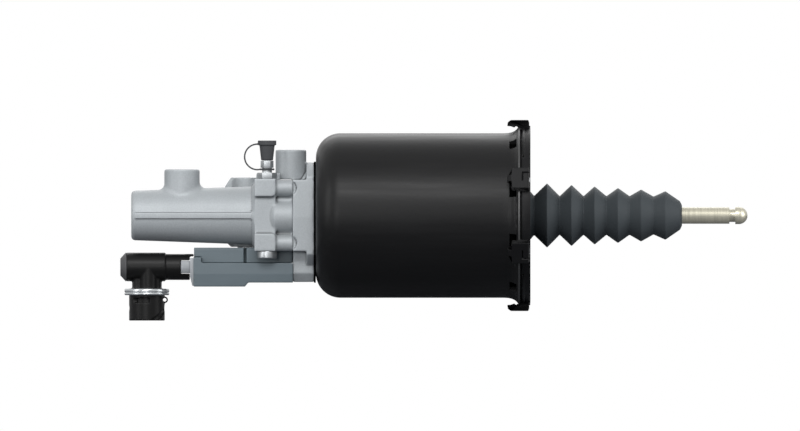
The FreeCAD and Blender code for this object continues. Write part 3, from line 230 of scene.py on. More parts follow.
hook_tab_rounding = 0.25
hook_tab_columns = 9

# The tapered cylinder and the strips of painted shadow beside its parting band: name, height and half width
cylinder_left = -259.5
cylinder_right = -179.4
cylinder_left_radius = 16.05
cylinder_right_radius = 19.0
taper_left = -257.5
taper_right = -179.0
taper_right_back = -192.5
bore_radius = 11.05
bore_left = -252.5
bore_right = -160.0
parting_lift = 0.3
parting_depth = 0.25
parting_columns = 60
parting_sides = 12
parting_end = 0.02
parting_rows = (("upper", 2.0, 0.14), ("lower", -2.05, 0.26))


class Value:
    """A number or colour in a material. Arithmetic on it adds Math nodes."""

    def __init__(self, graph, socket):
        self.graph = graph
        self.socket = socket

    def maths(self, operation, *others):
        return self.graph.add("ShaderNodeMath", {"operation": operation}, [self, *others])

    def __add__(self, other):
        return self.maths("ADD", other)

    def __radd__(self, other):
        return self.maths("ADD", other)

    def __mul__(self, other):
        return self.maths("MULTIPLY", other)

    def __rmul__(self, other):
        return self.maths("MULTIPLY", other)

    def __sub__(self, other):
        return self.maths("SUBTRACT", other)

    def __rsub__(self, other):
        return self.graph.add("ShaderNodeMath", {"operation": "SUBTRACT"}, [other, self])


class Graph:
    """One procedural material, with a Principled shader at its end."""

    def __init__(self, name, metallic=0.0, coat=0.0, coat_roughness=0.2, sheen=0.0, specular=0.5):
        self.material = bpy.data.materials.new(name)
        self.material.use_nodes = True
        self.tree = self.material.node_tree
        self.shader = self.tree.nodes["Principled BSDF"]
        constants = {
            "Metallic": metallic, "Coat Weight": coat, "Coat Roughness": coat_roughness,
            "Sheen Weight": sheen, "Specular IOR Level": specular,
        }
        for socket, value in constants.items():
            self.shader.inputs[socket].default_value = value
        self.place = self.add("ShaderNodeTexCoord", {}, output="Object")

    def add(self, kind, settings, values=(), output=0):
        """Adds one node: its settings first, then the values or links of its sockets."""
        node = self.tree.nodes.new(kind)
        for key, value in settings.items():
            setattr(node, key, value)
        pairs = values.items() if isinstance(values, dict) else enumerate(values)
        for key, value in pairs:
            self.join(value, node.inputs[key])
        return Value(self, node.outputs[output])

    def join(self, value, socket):
        """Links a value to a socket, or sets a plain number or colour on it."""
        if isinstance(value, Value):
            self.tree.links.new(value.socket, socket)
        else:
            socket.default_value = value

    def noise(self, scale, detail=3.0, roughness=0.55, stretch=(1, 1, 1)):
        """Noise from 0 to 1 on Object coordinates, with a scale in cells a metre."""
        place = self.add("ShaderNodeMapping", {}, {"Vector": self.place, "Scale": stretch})
        values = {"Vector": place, "Scale": scale, "Detail": detail, "Roughness": roughness}
        return self.add("ShaderNodeTexNoise", {}, values)

    def ramp(self, value, low, high):
        """A value spread from 0 at low to 1 at high."""
        values = {"Value": value, "From Min": low, "From Max": high}
        return self.add("ShaderNodeMapRange", {}, values)

    def edges(self):
        """How far the surface bulges, above 0.5 on an outer edge and below it in a corner."""
        return self.add("ShaderNodeNewGeometry", {}, output="Pointiness")

    def blend(self, share, first, second):
        """A colour between two, by a share from 0 to 1. The colour sockets are the sixth and seventh."""
        mixed = self.add("ShaderNodeMix", {"data_type": "RGBA"}, {0: share, 6: first, 7: second}, 2)
        return mixed

    def finish(self, colour, roughness, height=None, depth=0.0):
        """Joins colour and roughness to the shader, with a bump of the given depth in metres."""
        self.join(colour, self.shader.inputs["Base Color"])
        self.join(roughness, self.shader.inputs["Roughness"])
        if height is not None:
            values = {"Strength": 1.0, "Distance": depth, "Height": height}
            bump = self.add("ShaderNodeBump", {}, values)
            self.join(bump, self.shader.inputs["Normal"])
        return self.material


def rgba(red, green, blue):
    """A colour with full opacity."""
    return (red, green, blue, 1.0)


def shade(colour, factor):
    """A colour made darker or lighter by a factor."""
    return tuple(min(1.0, channel * factor) for channel in colour[:3]) + (1.0,)


def cast_metal(name, colour, grain=1100.0):
    """Blasted cast aluminium: fine pitted grain, a cloudy tone, edges lighter as rubbed wear with a painted
    highlight, and painted shade darkening its corners.
    """
    graph = Graph(name, metallic=0.15, specular=0.35)
    fine = graph.noise(grain, 4.0, 0.65)
    cloud = graph.noise(60.0, 3.0)
    edges = graph.edges()
    tone = graph.blend(graph.ramp(fine, 0.3, 0.7), shade(colour, 0.9), shade(colour, 1.07))
    tone = graph.blend(graph.ramp(cloud, 0.35, 0.7) * 0.3, tone, shade(colour, 0.86))
    # Outer edges lighter: rubbed wear, and a painted highlight along them
    tone = graph.blend(graph.ramp(edges, 0.52, 0.60) * 0.6, tone, shade(colour, 1.5))
    # Corners and creases much darker: painted shade
    tone = graph.blend(graph.ramp(edges, 0.49, 0.455) * 0.85, tone, shade(colour, 0.12))
    roughness = graph.ramp(cloud, 0.2, 0.8) * 0.1 + 0.46
    return graph.finish(tone, roughness, fine, 0.00008)


def black_coat(name, colour, roughness, coat=0.0, specular=0.3):
    """Satin black paint over drawn sheet: faint orange peel, dust specks, drawing marks and a painted
    highlight along its outer edges.
    """
    graph = Graph(name, coat=coat, coat_roughness=0.28, specular=specular)
    peel = graph.noise(420.0, 2.0)
    drawn = graph.noise(260.0, 2.0, 0.5, (0.08, 1.0, 1.0))
    speck = graph.ramp(graph.noise(900.0, 2.0, 0.4), 0.72, 0.78)
    tone = graph.blend(speck * 0.4, colour, shade(colour, 2.0))
    tone = graph.blend(graph.ramp(drawn, 0.4, 0.7) * 0.3, tone, shade(colour, 1.35))
    # Painted highlight: outer edges much lighter
    tone = graph.blend(graph.ramp(graph.edges(), 0.53, 0.60) * 0.8, tone, shade(colour, 5.0))
    rough = graph.ramp(drawn, 0.3, 0.7) * 0.08 + roughness
    return graph.finish(tone, rough, peel, 0.00004)


def moulded_rubber(name, colour, roughness=0.62, sheen=0.0, specular=0.3):
    """Moulded rubber: a fine matt grain with a faint bloom."""
    graph = Graph(name, sheen=sheen, specular=specular)
    grain = graph.noise(2200.0, 3.0)
    bloom = graph.noise(45.0, 3.0)
    tone = graph.blend(graph.ramp(bloom, 0.35, 0.7) * 0.5, colour, shade(colour, 1.22))
    rough = graph.ramp(grain, 0.3, 0.7) * 0.1 + roughness
    return graph.finish(tone, rough, grain, 0.00003)


def moulded_plastic(name, colour, roughness, coat=0.0, specular=0.4):
    """Injection-moulded plastic: spark-eroded grain, a slight change of tone, a painted highlight on its
    outer edges and painted shade in its corners.
    """
    graph = Graph(name, coat=coat, coat_roughness=0.2, specular=specular)
    grain = graph.noise(3000.0, 2.0)
    flow = graph.noise(70.0, 2.0, 0.5, (0.4, 1.0, 1.0))
    tone = graph.blend(graph.ramp(flow, 0.35, 0.65) * 0.6, shade(colour, 0.94), shade(colour, 1.08))
    edges = graph.edges()
    # Painted highlight: outer edges lighter
    tone = graph.blend(graph.ramp(edges, 0.53, 0.62) * 0.4, tone, shade(colour, 1.6))
    # Painted shade: corners darker
    tone = graph.blend(graph.ramp(edges, 0.47, 0.40) * 0.5, tone, shade(colour, 0.4))
    rough = graph.ramp(grain, 0.3, 0.7) * 0.08 + roughness
    return graph.finish(tone, rough, grain, 0.00002)


def turned_metal(name, colour, roughness, stretch, scale=1800.0, metallic=0.9):
    """Bright metal with tool marks: streaks drawn out along one or two axes."""
    graph = Graph(name, metallic=metallic)
    marks = graph.noise(scale, 2.0, 0.5, stretch)
    stain = graph.noise(120.0, 3.0)
    tone = graph.blend(graph.ramp(marks, 0.35, 0.65), shade(colour, 0.9), shade(colour, 1.06))
    tone = graph.blend(graph.ramp(stain, 0.5, 0.75) * 0.25, tone, shade(colour, 0.78))
    rough = graph.ramp(marks, 0.3, 0.7) * 0.1 + roughness
    return graph.finish(tone, rough, marks, 0.00001)


# Which way a finish's marks are drawn out: a small number makes them long in that direction
along_z = (1.0, 1.0, 0.03)
round_x = (1.0, 0.06, 0.06)
round_z = (0.06, 0.06, 1.0)

FINISHES = {
    "cast_aluminium": cast_metal("cast_aluminium", rgba(0.365, 0.388, 0.402)),
    # Painted shadow: a dark cast finish for the strips beside the parting band
    "cast_shadow": cast_metal("cast_shadow", rgba(0.055, 0.06, 0.065)),
    "black_can": black_coat("black_can", rgba(0.0065, 0.0065, 0.0068), 0.36, 0.0, 0.15),
    "black_cover": black_coat("black_cover", rgba(0.0055, 0.0055, 0.006), 0.4, 0.0, 0.12),
    "black_clip": moulded_plastic("black_clip", rgba(0.006, 0.006, 0.0065), 0.42, 0.0, 0.11),
    "black_rubber": moulded_rubber("black_rubber", rgba(0.002, 0.002, 0.002), 0.7, 0.0, 0.0),
    "slate_rubber": moulded_rubber("slate_rubber", rgba(0.036, 0.042, 0.046), 0.55, 0.0, 0.15),
    "cap_rubber": moulded_rubber("cap_rubber", rgba(0.045, 0.047, 0.05), 0.6),
    "zinc_steel": turned_metal("zinc_steel", rgba(0.37, 0.385, 0.395), 0.36, round_z, 1800.0, 0.75),
    # Painted highlight: the rim's bead gets a grey far paler than the can's black, to read as the light line
    # along the lip
    "rim_highlight_grey": turned_metal("rim_highlight_grey", rgba(0.05, 0.05, 0.05), 0.35, round_x, 1800.0, 0.3),
    "tab_steel": turned_metal("tab_steel", rgba(0.16, 0.165, 0.17), 0.4, round_x),
    "screw_steel": turned_metal("screw_steel", rgba(0.2, 0.21, 0.215), 0.4, round_x, 1800.0, 0.6),
    "bright_steel": turned_metal("bright_steel", rgba(0.50, 0.52, 0.53), 0.24, round_z),
    "plug_steel": turned_metal("plug_steel", rgba(0.36, 0.375, 0.385), 0.32, round_z, 1800.0, 0.8),
    "spring_steel": turned_metal("spring_steel", rgba(0.3, 0.3, 0.31), 0.35, along_z),
    "ground_steel": turned_metal("ground_steel", rgba(0.6, 0.61, 0.62), 0.24, round_x),
    "yellow_steel": turned_metal("yellow_steel", rgba(0.42, 0.4, 0.32), 0.3, round_x, 1400.0, 0.6),
    "machined_aluminium": turned_metal("machined_aluminium", rgba(0.62, 0.64, 0.66), 0.3, round_z),
    "bush_bronze": turned_metal("bush_bronze", rgba(0.55, 0.38, 0.18), 0.35, round_x),
    "guide_plastic": moulded_plastic("guide_plastic", rgba(0.3, 0.2, 0.1), 0.5),
    "sensor_plastic": moulded_plastic("sensor_plastic", rgba(0.115, 0.145, 0.162), 0.42, 0.0, 0.35),
    "plate_plastic": moulded_plastic("plate_plastic", rgba(0.29, 0.305, 0.32), 0.42),
    "cap_plastic": moulded_plastic("cap_plastic", rgba(0.07, 0.07, 0.072), 0.5, 0.0, 0.3),
    "black_plastic": moulded_plastic("black_plastic", rgba(0.0065, 0.0065, 0.0065), 0.34, 0.0, 0.14),
    "pin_brass": turned_metal("pin_brass", rgba(0.8, 0.6, 0.3), 0.22, along_z),
}

# Solids whose finish is duller than that of their slot
OWN_FINISHES = {
    "housing_screws": "screw_steel", "can_screws": "screw_steel", "relay_exhaust_cap": "plug_steel",
}


def dress_nodes():
    """Gives each solid of the frame the finish of its material slot."""
    for row in frame["record"]["subparts"]:
        node = frame["nodes"][row["node"]]
        node.data.materials.clear()
        finish = OWN_FINISHES.get(row["node"], row["material_slot"])
        node.data.materials.append(FINISHES[finish])


def new_piece(name, points, faces, finish, body, smooth=True):
    """A mesh object at the origin, with its finish, riding on a body."""
    mesh = bpy.data.meshes.new(name)
    mesh.from_pydata(points.tolist(), [], faces if isinstance(faces, list) else faces.tolist())
    if smooth:
        mesh.shade_smooth()
    return placed(name, mesh, finish, body)


def placed(name, mesh, finish, body):
    """Puts a mesh into the scene as a piece of the given body."""
    mesh.materials.clear()
    mesh.materials.append(FINISHES[finish])
    piece = bpy.data.objects.new(name, mesh)
    bpy.context.scene.collection.objects.link(piece)
    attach(piece, body)
    return piece


def grid_faces(rows, columns, wrap_rows=False, wrap_columns=True):
    """Quads of a grid of points, numbered row by row, closed round where asked."""
    row = np.arange(rows if wrap_rows else rows - 1)[:, None]
    column = np.arange(columns if wrap_columns else columns - 1)[None, :]
    below = (row + 1) % rows
    right = (column + 1) % columns
    corners = (
        row * columns + column, below * columns + column, below * columns + right, row * columns + right,
    )
    return np.stack(np.broadcast_arrays(*corners), axis=-1).reshape(-1, 4)


def turned_surface(profile, sides=128):
    """Points on a closed surface of revolution about X.

    Each profile point (x, r) goes to (x, -r cos a, r sin a) for an angle a that runs right round.
    """
    profile = np.asarray(profile, dtype=float) * MM
    angle = np.linspace(0, TURN, sides, endpoint=False)
    x = np.repeat(profile[:, :1], sides, axis=1)
    y = -profile[:, 1:] * np.cos(angle)
    z = profile[:, 1:] * np.sin(angle)
    return np.stack([x, y, z], axis=-1).reshape(-1, 3)


def rounded_profile(points, radius, steps=5):
    """A closed outline whose corners are rounded.

    Each corner gives way to a quadratic curve that leaves and meets its two sides a little way off,
    at most 0.4 of the shorter side.
    """
    points = np.asarray(points, dtype=float)
    before = np.roll(points, 1, axis=0) - points
    after = np.roll(points, -1, axis=0) - points
    reach_before = np.linalg.norm(before, axis=1, keepdims=True)
    reach_after = np.linalg.norm(after, axis=1, keepdims=True)
    reach = np.minimum(radius, 0.4 * np.minimum(reach_before, reach_after))
    start = points + before / reach_before * reach
    end = points + after / reach_after * reach
    t = np.linspace(0, 1, steps)[None, :, None]
    curve = (1 - t) ** 2 * start[:, None] + 2 * t * (1 - t) * points[:, None] + t**2 * end[:, None]
    return curve.reshape(-1, 2)


def even_outline(points, spacing):
    """Points a set distance apart along a closed outline."""
    closed = np.vstack([points, points[:1]])
    reach = np.concatenate([[0.0], np.cumsum(np.linalg.norm(np.diff(closed, axis=0), axis=1))])
    along = np.linspace(0.0, reach[-1], int(reach[-1] / spacing), endpoint=False)
    return np.column_stack([np.interp(along, reach, closed[:, axis]) for axis in (0, 1)])


def bellows():
    """The rubber bellows as one closed turned wall, outside and inside.

    The outline follows the folds outwards and comes back one wall's thickness further in.
    """
    folds = np.array(bellows_folds)
    inside = folds[:-2][::-1] - (0.0, bellows_wall)
    end = folds[-1, 0]
    mouth = rod_radius + bellows_mouth_gap
    mouth_left = end - bellows_mouth_length
    outline = np.vstack([
        [(bellows_bead_left, bellows_bead_radius), (bellows_bead_right, bellows_bead_radius)],
        [(bellows_bead_right, folds[0, 1])], folds,
        [(end, mouth), (mouth_left, mouth), (mouth_left, folds[-2, 1] - bellows_mouth_wall)], inside,
        [(bellows_bead_left, inside[-1, 1])],
    ])
    profile = rounded_profile(outline, bellows_rounding)
    points = turned_surface(profile, bellows_sides)
    faces = grid_faces(len(profile), bellows_sides, wrap_rows=True)
    piece = new_piece("bellows_skin", points, faces, "slate_rubber", "root")
    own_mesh(piece)
    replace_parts(piece, "bellows")


def coil_surface(wire, radius, turns, length, sides=14, runs=40):
    """A closed tube of the given wire round a helix along +Z, with rounded ends.

    The helix point for angle a is (R cos a, R sin a, climb). The wire's circle at it lies in the plane
    of the outward direction and the axis, and shrinks to nothing at both ends.
    """
    count = turns * runs + 1
    angle = np.linspace(0, TURN * turns, count)
    climb = np.linspace(wire / 2, length - wire / 2, count)
    size = np.full(count, wire / 2)
    size[[0, -1]] = 1e-6
    around = np.linspace(0, TURN, sides, endpoint=False)
    reach = radius + size[:, None] * np.cos(around)
    x = reach * np.cos(angle)[:, None]
    y = reach * np.sin(angle)[:, None]
    z = climb[:, None] + size[:, None] * np.sin(around)
    points = np.stack([x, y, z], axis=-1).reshape(-1, 3) * MM
    return points, grid_faces(count, sides)


def preload_spring():
    """The coil spring behind the air piston. The real spring shortens with the stroke; this coil keeps the
    length of its solid and rides on the root.
    """
    low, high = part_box("preload_spring")
    length = (high[0] - low[0]) / MM
    points, faces = coil_surface(*preload_coil, length)
    points = points[:, [2, 0, 1]] + (low[0], 0, 0)
    piece = new_piece("preload_spring_coil", points, faces, "spring_steel", "root")
    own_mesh(piece)
    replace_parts(piece, "preload_spring")


def relay_spring():
    """The small coil spring under the relay spool."""
    low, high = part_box("relay_spring")
    centre = [(a + b) / 2 for a, b in zip(low, high)]
    length = (high[2] - low[2]) / MM
    points, faces = coil_surface(*relay_coil, length, relay_coil_sides, relay_coil_runs)
    points = points + (centre[0], centre[1], low[2])
    piece = new_piece("relay_spring_coil", points, faces, "spring_steel", "root")
    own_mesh(piece)
    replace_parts(piece, "relay_spring")


def threads():
    """The thread in each port: a ridge wound round the hole's wall, mostly sunk into it."""
    for name, x, y, radius, top in port_threads:
        points, faces = coil_surface(thread_wire, radius, thread_turns, thread_length)
        points = points + np.array([x, y, top - thread_length]) * MM
        new_piece(f"{name}_port_thread", points, faces, "machined_aluminium", "root")


def merged_copy(node):
    """A copy of a solid's object whose triangles share their corners."""
    copy = bpy.data.objects.new("raw_" + node, frame["nodes"][node].data.copy())
    bpy.context.scene.collection.objects.link(copy)
    weld = copy.modifiers.new("merge", "WELD")
    weld.merge_threshold = weld_distance
    return copy


def finished_mesh(copy):
    """The mesh that a copy's modifiers give. The copy goes."""
    graph = bpy.context.evaluated_depsgraph_get()
    mesh = bpy.data.meshes.new_from_object(copy.evaluated_get(graph))
    bpy.data.objects.remove(copy)
    return mesh


def open_bore(mesh):
    """Brings the wall of the hydraulic bore out to its radius, where the cells left it nearer in.

    A point of the wall at the distance R from the X axis goes out to the larger of R and the radius.
    """
    points = np.empty(len(mesh.vertices) * 3)
    mesh.vertices.foreach_get("co", points)
    points = points.reshape(-1, 3)
    radius = bore_radius * MM
    reach = np.hypot(points[:, 1], points[:, 2])
    along = (points[:, 0] > bore_left * MM) & (points[:, 0] < bore_right * MM)
    wall = along & (reach > radius - MM) & (reach < radius)
    points[wall, 1:] *= (radius / reach[wall])[:, None]
    mesh.vertices.foreach_set("co", points.ravel())
    mesh.update()


def cast_form(name, node, finish, voxel, passes):
    """A moulding or casting with softened edges and filleted corners, made from its solid.

    The solid's copy is rebuilt in small cells. Each point then moves part of the way to the mean of its
    neighbours, a few times over.
    """
    copy = merged_copy(node)
    cells = copy.modifiers.new("cells", "REMESH")
    cells.mode = "VOXEL"
    cells.voxel_size = voxel
    soft = copy.modifiers.new("soften", "SMOOTH")
    soft.factor = softening
    soft.iterations = passes
    mesh = finished_mesh(copy)
    if node == bored_node:
        open_bore(mesh)
    mesh.shade_smooth()
    piece = placed(name, mesh, finish, "root")
    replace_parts(piece, node)


def eased_form(name, node, finish, width, body):
    """A pressed or machined solid whose sharp edges are rounded by a narrow bevel."""
    copy = merged_copy(node)
    flat = copy.modifiers.new("flat", "DECIMATE")
    flat.decimate_type = "DISSOLVE"
    flat.angle_limit = math.radians(flat_degrees)
    ease = copy.modifiers.new("ease", "BEVEL")
    ease.width = width * MM
    ease.segments = bevel_segments
    ease.limit_method = "ANGLE"
    ease.angle_limit = math.radians(bevel_degrees)
    ease.harden_normals = False
    mesh = finished_mesh(copy)
    mesh.shade_smooth()
    mesh.set_sharp_from_angle(angle=math.radians(eased_sharp_degrees))
    piece = placed(name, mesh, finish, body)
    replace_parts(piece, node)


def camera():
    """The photograph's camera: square on to the side, with no perspective."""
    data = bpy.data.cameras.new("camera")
    data.type = "ORTHO"
    data.ortho_scale = view_width
    eye = bpy.data.objects.new("camera", data)
    eye.location = (view_middle_x, -camera_distance, 0)
    eye.rotation_euler = (math.pi / 2, 0, 0)
    bpy.context.scene.collection.objects.link(eye)
    bpy.context.scene.camera = eye


def lamp(name, place, target, size, power):
    """A square soft light that faces a point."""
    data = bpy.data.lights.new(name, "AREA")
    data.shape = "RECTANGLE"
    data.size, data.size_y = size
    data.energy = power
    light = bpy.data.objects.new(name, data)
    light.location = place
    light.rotation_euler = (Vector(target) - Vector(place)).to_track_quat("-Z", "Y").to_euler()
    bpy.context.scene.collection.objects.link(light)


def seen_directly(tree, kinds):
    """1 for the rays of the given kinds, such as those from the camera, and 0 for the others."""
    path = tree.nodes.new("ShaderNodeLightPath")
    total = path.outputs[kinds[0]]
    for kind in kinds[1:]:
        larger = tree.nodes.new("ShaderNodeMath")
        larger.operation = "MAXIMUM"
        tree.links.new(total, larger.inputs[0])
        tree.links.new(path.outputs[kind], larger.inputs[1])
        total = larger.outputs[0]
    return total


def either(tree, share, first, second, end):
    """Joins two shaders to an end socket, the second where the share is 1."""
    mixer = tree.nodes.new("ShaderNodeMixShader")
    tree.links.new(share, mixer.inputs[0])
    tree.links.new(first, mixer.inputs[1])
    tree.links.new(second, mixer.inputs[2])
    tree.links.new(mixer.outputs[0], end)


def room():
    """A white surrounding to the camera and in reflections, and a dimmer one as light."""
    world = bpy.data.worlds.new("studio")
    bpy.context.scene.world = world
    world.use_nodes = True
    tree = world.node_tree
    dim = tree.nodes["Background"]
    dim.inputs["Color"].default_value = room_colour
    dim.inputs["Strength"].default_value = room_strength
    white = tree.nodes.new("ShaderNodeBackground")
    white.inputs["Color"].default_value = (1, 1, 1, 1)
    white.inputs["Strength"].default_value = 1.0
    share = seen_directly(tree, ("Is Camera Ray", "Is Glossy Ray", "Is Transmission Ray"))
    either(tree, share, dim.outputs[0], white.outputs[0], tree.nodes["World Output"].inputs[0])


def floor():
    """A pale paper floor. It gives the object less light from below than it shows."""
    corners = floor_reach * np.array([(-1, -1), (1, -1), (1, 1), (-1, 1)], dtype=float)
    points = np.column_stack([corners, np.full(4, floor_height)])
    mesh = bpy.data.meshes.new("floor")
    mesh.from_pydata(points.tolist(), [], [(0, 1, 2, 3)])
    sheet = bpy.data.objects.new("floor", mesh)
    bpy.context.scene.collection.objects.link(sheet)
    paper = Graph("paper", specular=0.2)
    fibre = paper.noise(floor_fibre, 3.0)
    paper.finish(paper.blend(fibre, *floor_colours), 0.9)
    shadow_side = paper.tree.nodes.new("ShaderNodeBsdfDiffuse")
    shadow_side.inputs["Color"].default_value = floor_shade
    end = paper.tree.nodes["Material Output"].inputs[0]
    share = seen_directly(paper.tree, ("Is Camera Ray",))
    either(paper.tree, share, shadow_side.outputs[0], paper.shader.outputs[0], end)
    mesh.materials.append(paper.material)


def studio():
    """Soft lights: a large one above the camera, weak ones from both sides and one from behind."""
    room()
    floor()
    for name, (place, target, size, power) in LAMPS.items():
        lamp(name, place, target, size, power)
    bpy.context.scene.view_settings.view_transform = "Standard"


def rise(value, low, high, side=0.15):
    """1 between two limits and 0 outside them, with sides that change over a short distance."""
    return np.clip((value - low) / side, 0, 1) * np.clip((high - value) / side, 0, 1)


def fine_columns(middles, half_width, radius, fine, coarse):
    """Angles round the axis, close together near the given middles and further apart between them.

    The middles are degrees, and the fine and coarse steps are distances along the wall.
    """
    edges = np.array([(m - half_width, m + half_width) for m in middles]).reshape(-1)
    edges = np.append(edges, edges[0] + 360.0)
    pieces = []
    for number, (low, high) in enumerate(zip(edges[:-1], edges[1:])):
        step = fine if number % 2 == 0 else coarse
        count = max(2, int(math.radians(high - low) * radius / step))
        pieces.append(np.linspace(low, high, count, endpoint=False))
    return np.radians(np.concatenate(pieces))


def can_shell():
    """The drawn can: a closed wall turned about X, whose windows are deep pockets in the flare.

    The outline (x, r) runs from the hole in the floor out round the corner, along the wall, over the
    flare and the rim's bead, and back inside. At the angle a it goes to (x, -r cos a, r sin a). Inside
    a window the outer wall moves in to the window's floor.
    """
    turn = np.radians(np.linspace(180, 90, can_corner_steps))
    corner = np.column_stack([can_corner * np.cos(turn), can_corner * np.sin(turn)])
    centre = np.array([can_left + can_corner, can_radius - can_corner])
    corner = corner + centre
    wall = [(x, can_radius) for x in can_wall_rows]
    flare = np.array(can_flare)
    reach = np.arange(flare[0, 0], flare[-1, 0], flare_spacing)
    flare = np.column_stack([reach, np.interp(reach, flare[:, 0], flare[:, 1])])
    padded = np.pad(flare[:, 1], flare_smoothing // 2, mode="edge")
    flare[:, 1] = np.convolve(padded, np.full(flare_smoothing, 1 / flare_smoothing), mode="valid")
    inner = can_radius - can_wall
    back = [(can_flare[-1][0], can_rim_inner), (can_inside_right, inner), (can_inside_left, inner)]
    inner_corner = centre + (corner[::-1] - centre) * (can_corner - can_wall) / can_corner
    floor_edge = [(can_left + can_wall, can_floor_hole), (can_left, can_floor_hole)]
    profile = np.vstack([corner, wall, flare, back, inner_corner, floor_edge])
    angle = fine_columns(
        window_middles, window_column_half_degrees, can_radius, can_fine_step, can_coarse_step,
    )
    x = np.repeat(profile[:, :1], len(angle), axis=1)
    r = np.repeat(profile[:, 1:], len(angle), axis=1)
    outer = np.zeros(len(profile))
    outer[len(corner):len(corner) + len(wall) + len(flare)] = 1.0
    for middle in window_middles:
        across = (angle - math.radians(middle)) * can_radius
        mask = rise(across, -window_half_width, window_half_width)[None, :]
        mask = mask * rise(x, window_left, window_right) * outer[:, None]
        r = r - (r - window_floor) * mask
    points = np.stack([x, -r * np.cos(angle), r * np.sin(angle)], axis=-1).reshape(-1, 3) * MM
    faces = grid_faces(len(profile), len(angle), wrap_rows=True)
    piece = new_piece("can_shell", points, faces, "black_can", "root")
    piece.data.set_sharp_from_angle(angle=math.radians(can_sharp_degrees))
    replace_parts(piece, "cylinder_can")
    # The bead's paler grey is a painted highlight along the lip
    turned_piece("rim_bead", rounded_profile(np.array(rim_bead), rim_rounding), rim_bead_sides, "rim_highlight_grey")
    # Painted shadow: a black ring that darkens the windows' floors
    turned_piece("window_shadow_ring", window_shadow_ring, window_shadow_ring_sides, "black_rubber")


def turned_piece(name, profile, sides, finish):
    """A closed outline (x, r) turned about X, as a piece on the root."""
    faces = grid_faces(len(profile), sides, wrap_rows=True)
    new_piece(name, turned_surface(profile, sides), faces, finish, "root")


def rim_strips():
    """Two raised strips of the rim, above and below, with feet that run off to nothing at their ends.

    A strip's outline (x, r) is turned through its arc. Towards the ends its height shrinks with the
    square root of what is left, so that it dips into the rim in a curve.
    """
    outline = rounded_profile(np.array(rim_strip), rim_rounding)
    for side, middle in (("upper", 90), ("lower", 270)):
        share = np.linspace(-1, 1, rim_strip_columns)
        angle = np.radians(middle + rim_strip_half_degrees * share)
        keep = np.sqrt(np.clip(1 - np.abs(share) ** 6, 0, 1))
        low = outline[:, 1].min()
        r = low + (outline[:, 1:] - low) * keep[None, :]
        x = np.repeat(outline[:, :1], len(angle), axis=1)
        points = np.stack([x, -r * np.cos(angle), r * np.sin(angle)], axis=-1).reshape(-1, 3) * MM
        faces = capped_faces(len(outline), len(angle))
        new_piece(f"rim_strip_{side}", points, faces, "black_can", "root")


def parting_shadow_lines():
    """Four thin dark strips along the tapered cylinder, where the parting band meets it: a painted shadow of
    the band's edges.

    A strip lies at the height z on the taper's radius R(x), which grows evenly from left to right, so
    its points are (x, side sqrt(R(x)^2 - z^2), z), lifted a little. Its section is a flat rounded bar.
    """
    turn = -np.linspace(0, TURN, parting_sides, endpoint=False)
    for name, height, half in parting_rows:
        for side_name, side, right in (("front", -1.0, taper_right), ("back", 1.0, taper_right_back)):
            x = np.linspace(taper_left, right, parting_columns)
            share = (x - cylinder_left) / (cylinder_right - cylinder_left)
            radius = cylinder_left_radius + (cylinder_right_radius - cylinder_left_radius) * share
            middle = np.sqrt(radius**2 - height**2) + parting_lift
            taper = np.clip(np.minimum(x - taper_left, right - x), parting_end, 1)
            y = side * (middle[:, None] + parting_depth * taper[:, None] * np.cos(turn))
            z = height + half * taper[:, None] * np.sin(turn) * side
            points = np.stack([np.broadcast_to(x[:, None], y.shape), y, z], axis=-1).reshape(-1, 3) * MM
            faces = grid_faces(parting_columns, parting_sides).tolist()
            faces.append(list(range(parting_sides))[::-1])
            last = (parting_columns - 1) * parting_sides
            faces.append(list(range(last, last + parting_sides)))
            new_piece(f"parting_shadow_line_{name}_{side_name}", points, faces, "cast_shadow", "root")


def connector_ring():
    """The connector's ring: an outline (r, z) turned about its own upright axis, but for a gap.

    At the angle a the outline point goes to (cx + r cos a, cy + r sin a, z).
    """
    outline = rounded_profile(np.array(ring_outline[::-1]), ring_rounding)
    gap = math.radians(ring_gap_degrees / 2)
    angle = np.linspace(gap, TURN - gap, ring_columns)
    x = ring_x + outline[:, :1] * np.cos(angle)
    y = ring_y + outline[:, :1] * np.sin(angle)
    z = np.repeat(outline[:, 1:], len(angle), axis=1)
    points = np.stack([x, y, z], axis=-1).reshape(-1, 3) * MM
    faces = capped_faces(len(outline), len(angle))
    piece = new_piece("ring_metal", points, faces, "bright_steel", "root")
    piece.data.set_sharp_from_angle(angle=math.radians(ring_sharp_degrees))
    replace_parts(piece, "connector_ring")


def seam_shadow_strips():
    """Black rubber strips that fill the sensor's seams: partly a seal, partly a painted shadow that makes the
    seams read dark.

    An outline (x, z) is carried straight from the depth y of the front to that of the back.
    """
    for name, outline in seam_outlines.items():
        outline = rounded_profile(np.array(outline[::-1]), seam_rounding, 3)
        depth = np.linspace(seam_front_y, seam_back_y, 2)
        x = np.repeat(outline[:, :1], 2, axis=1)
        z = np.repeat(outline[:, 1:], 2, axis=1)
        y = np.broadcast_to(depth, x.shape)
        points = np.stack([x, y, z], axis=-1).reshape(-1, 3) * MM
        new_piece(f"sensor_seam_shadow_{name}", points, capped_faces(len(outline), 2), "black_rubber", "root", False)


def hook_form(position, across):
    """How far the outer face of a hook lies in, at a distance along the axis and across the hook.

    The slot has two legs: one across the hook, and one from its end along the axis to the open side.
    Inside the slot the depth is 1, outside it 0, and it changes over 0.15 mm.
    """
    half = hook_slot_half_width
    leg_across = rise(position, hook_slot_left - half, hook_slot_left + half)
    leg_across = leg_across * rise(across, hook_slot_end, hook_slot_across + half)
    leg_along = rise(position, hook_slot_left - half, hook_slot_open)
    leg_along = leg_along * rise(across, hook_slot_across - half, hook_slot_across + half)
    return np.maximum(leg_across, leg_along)


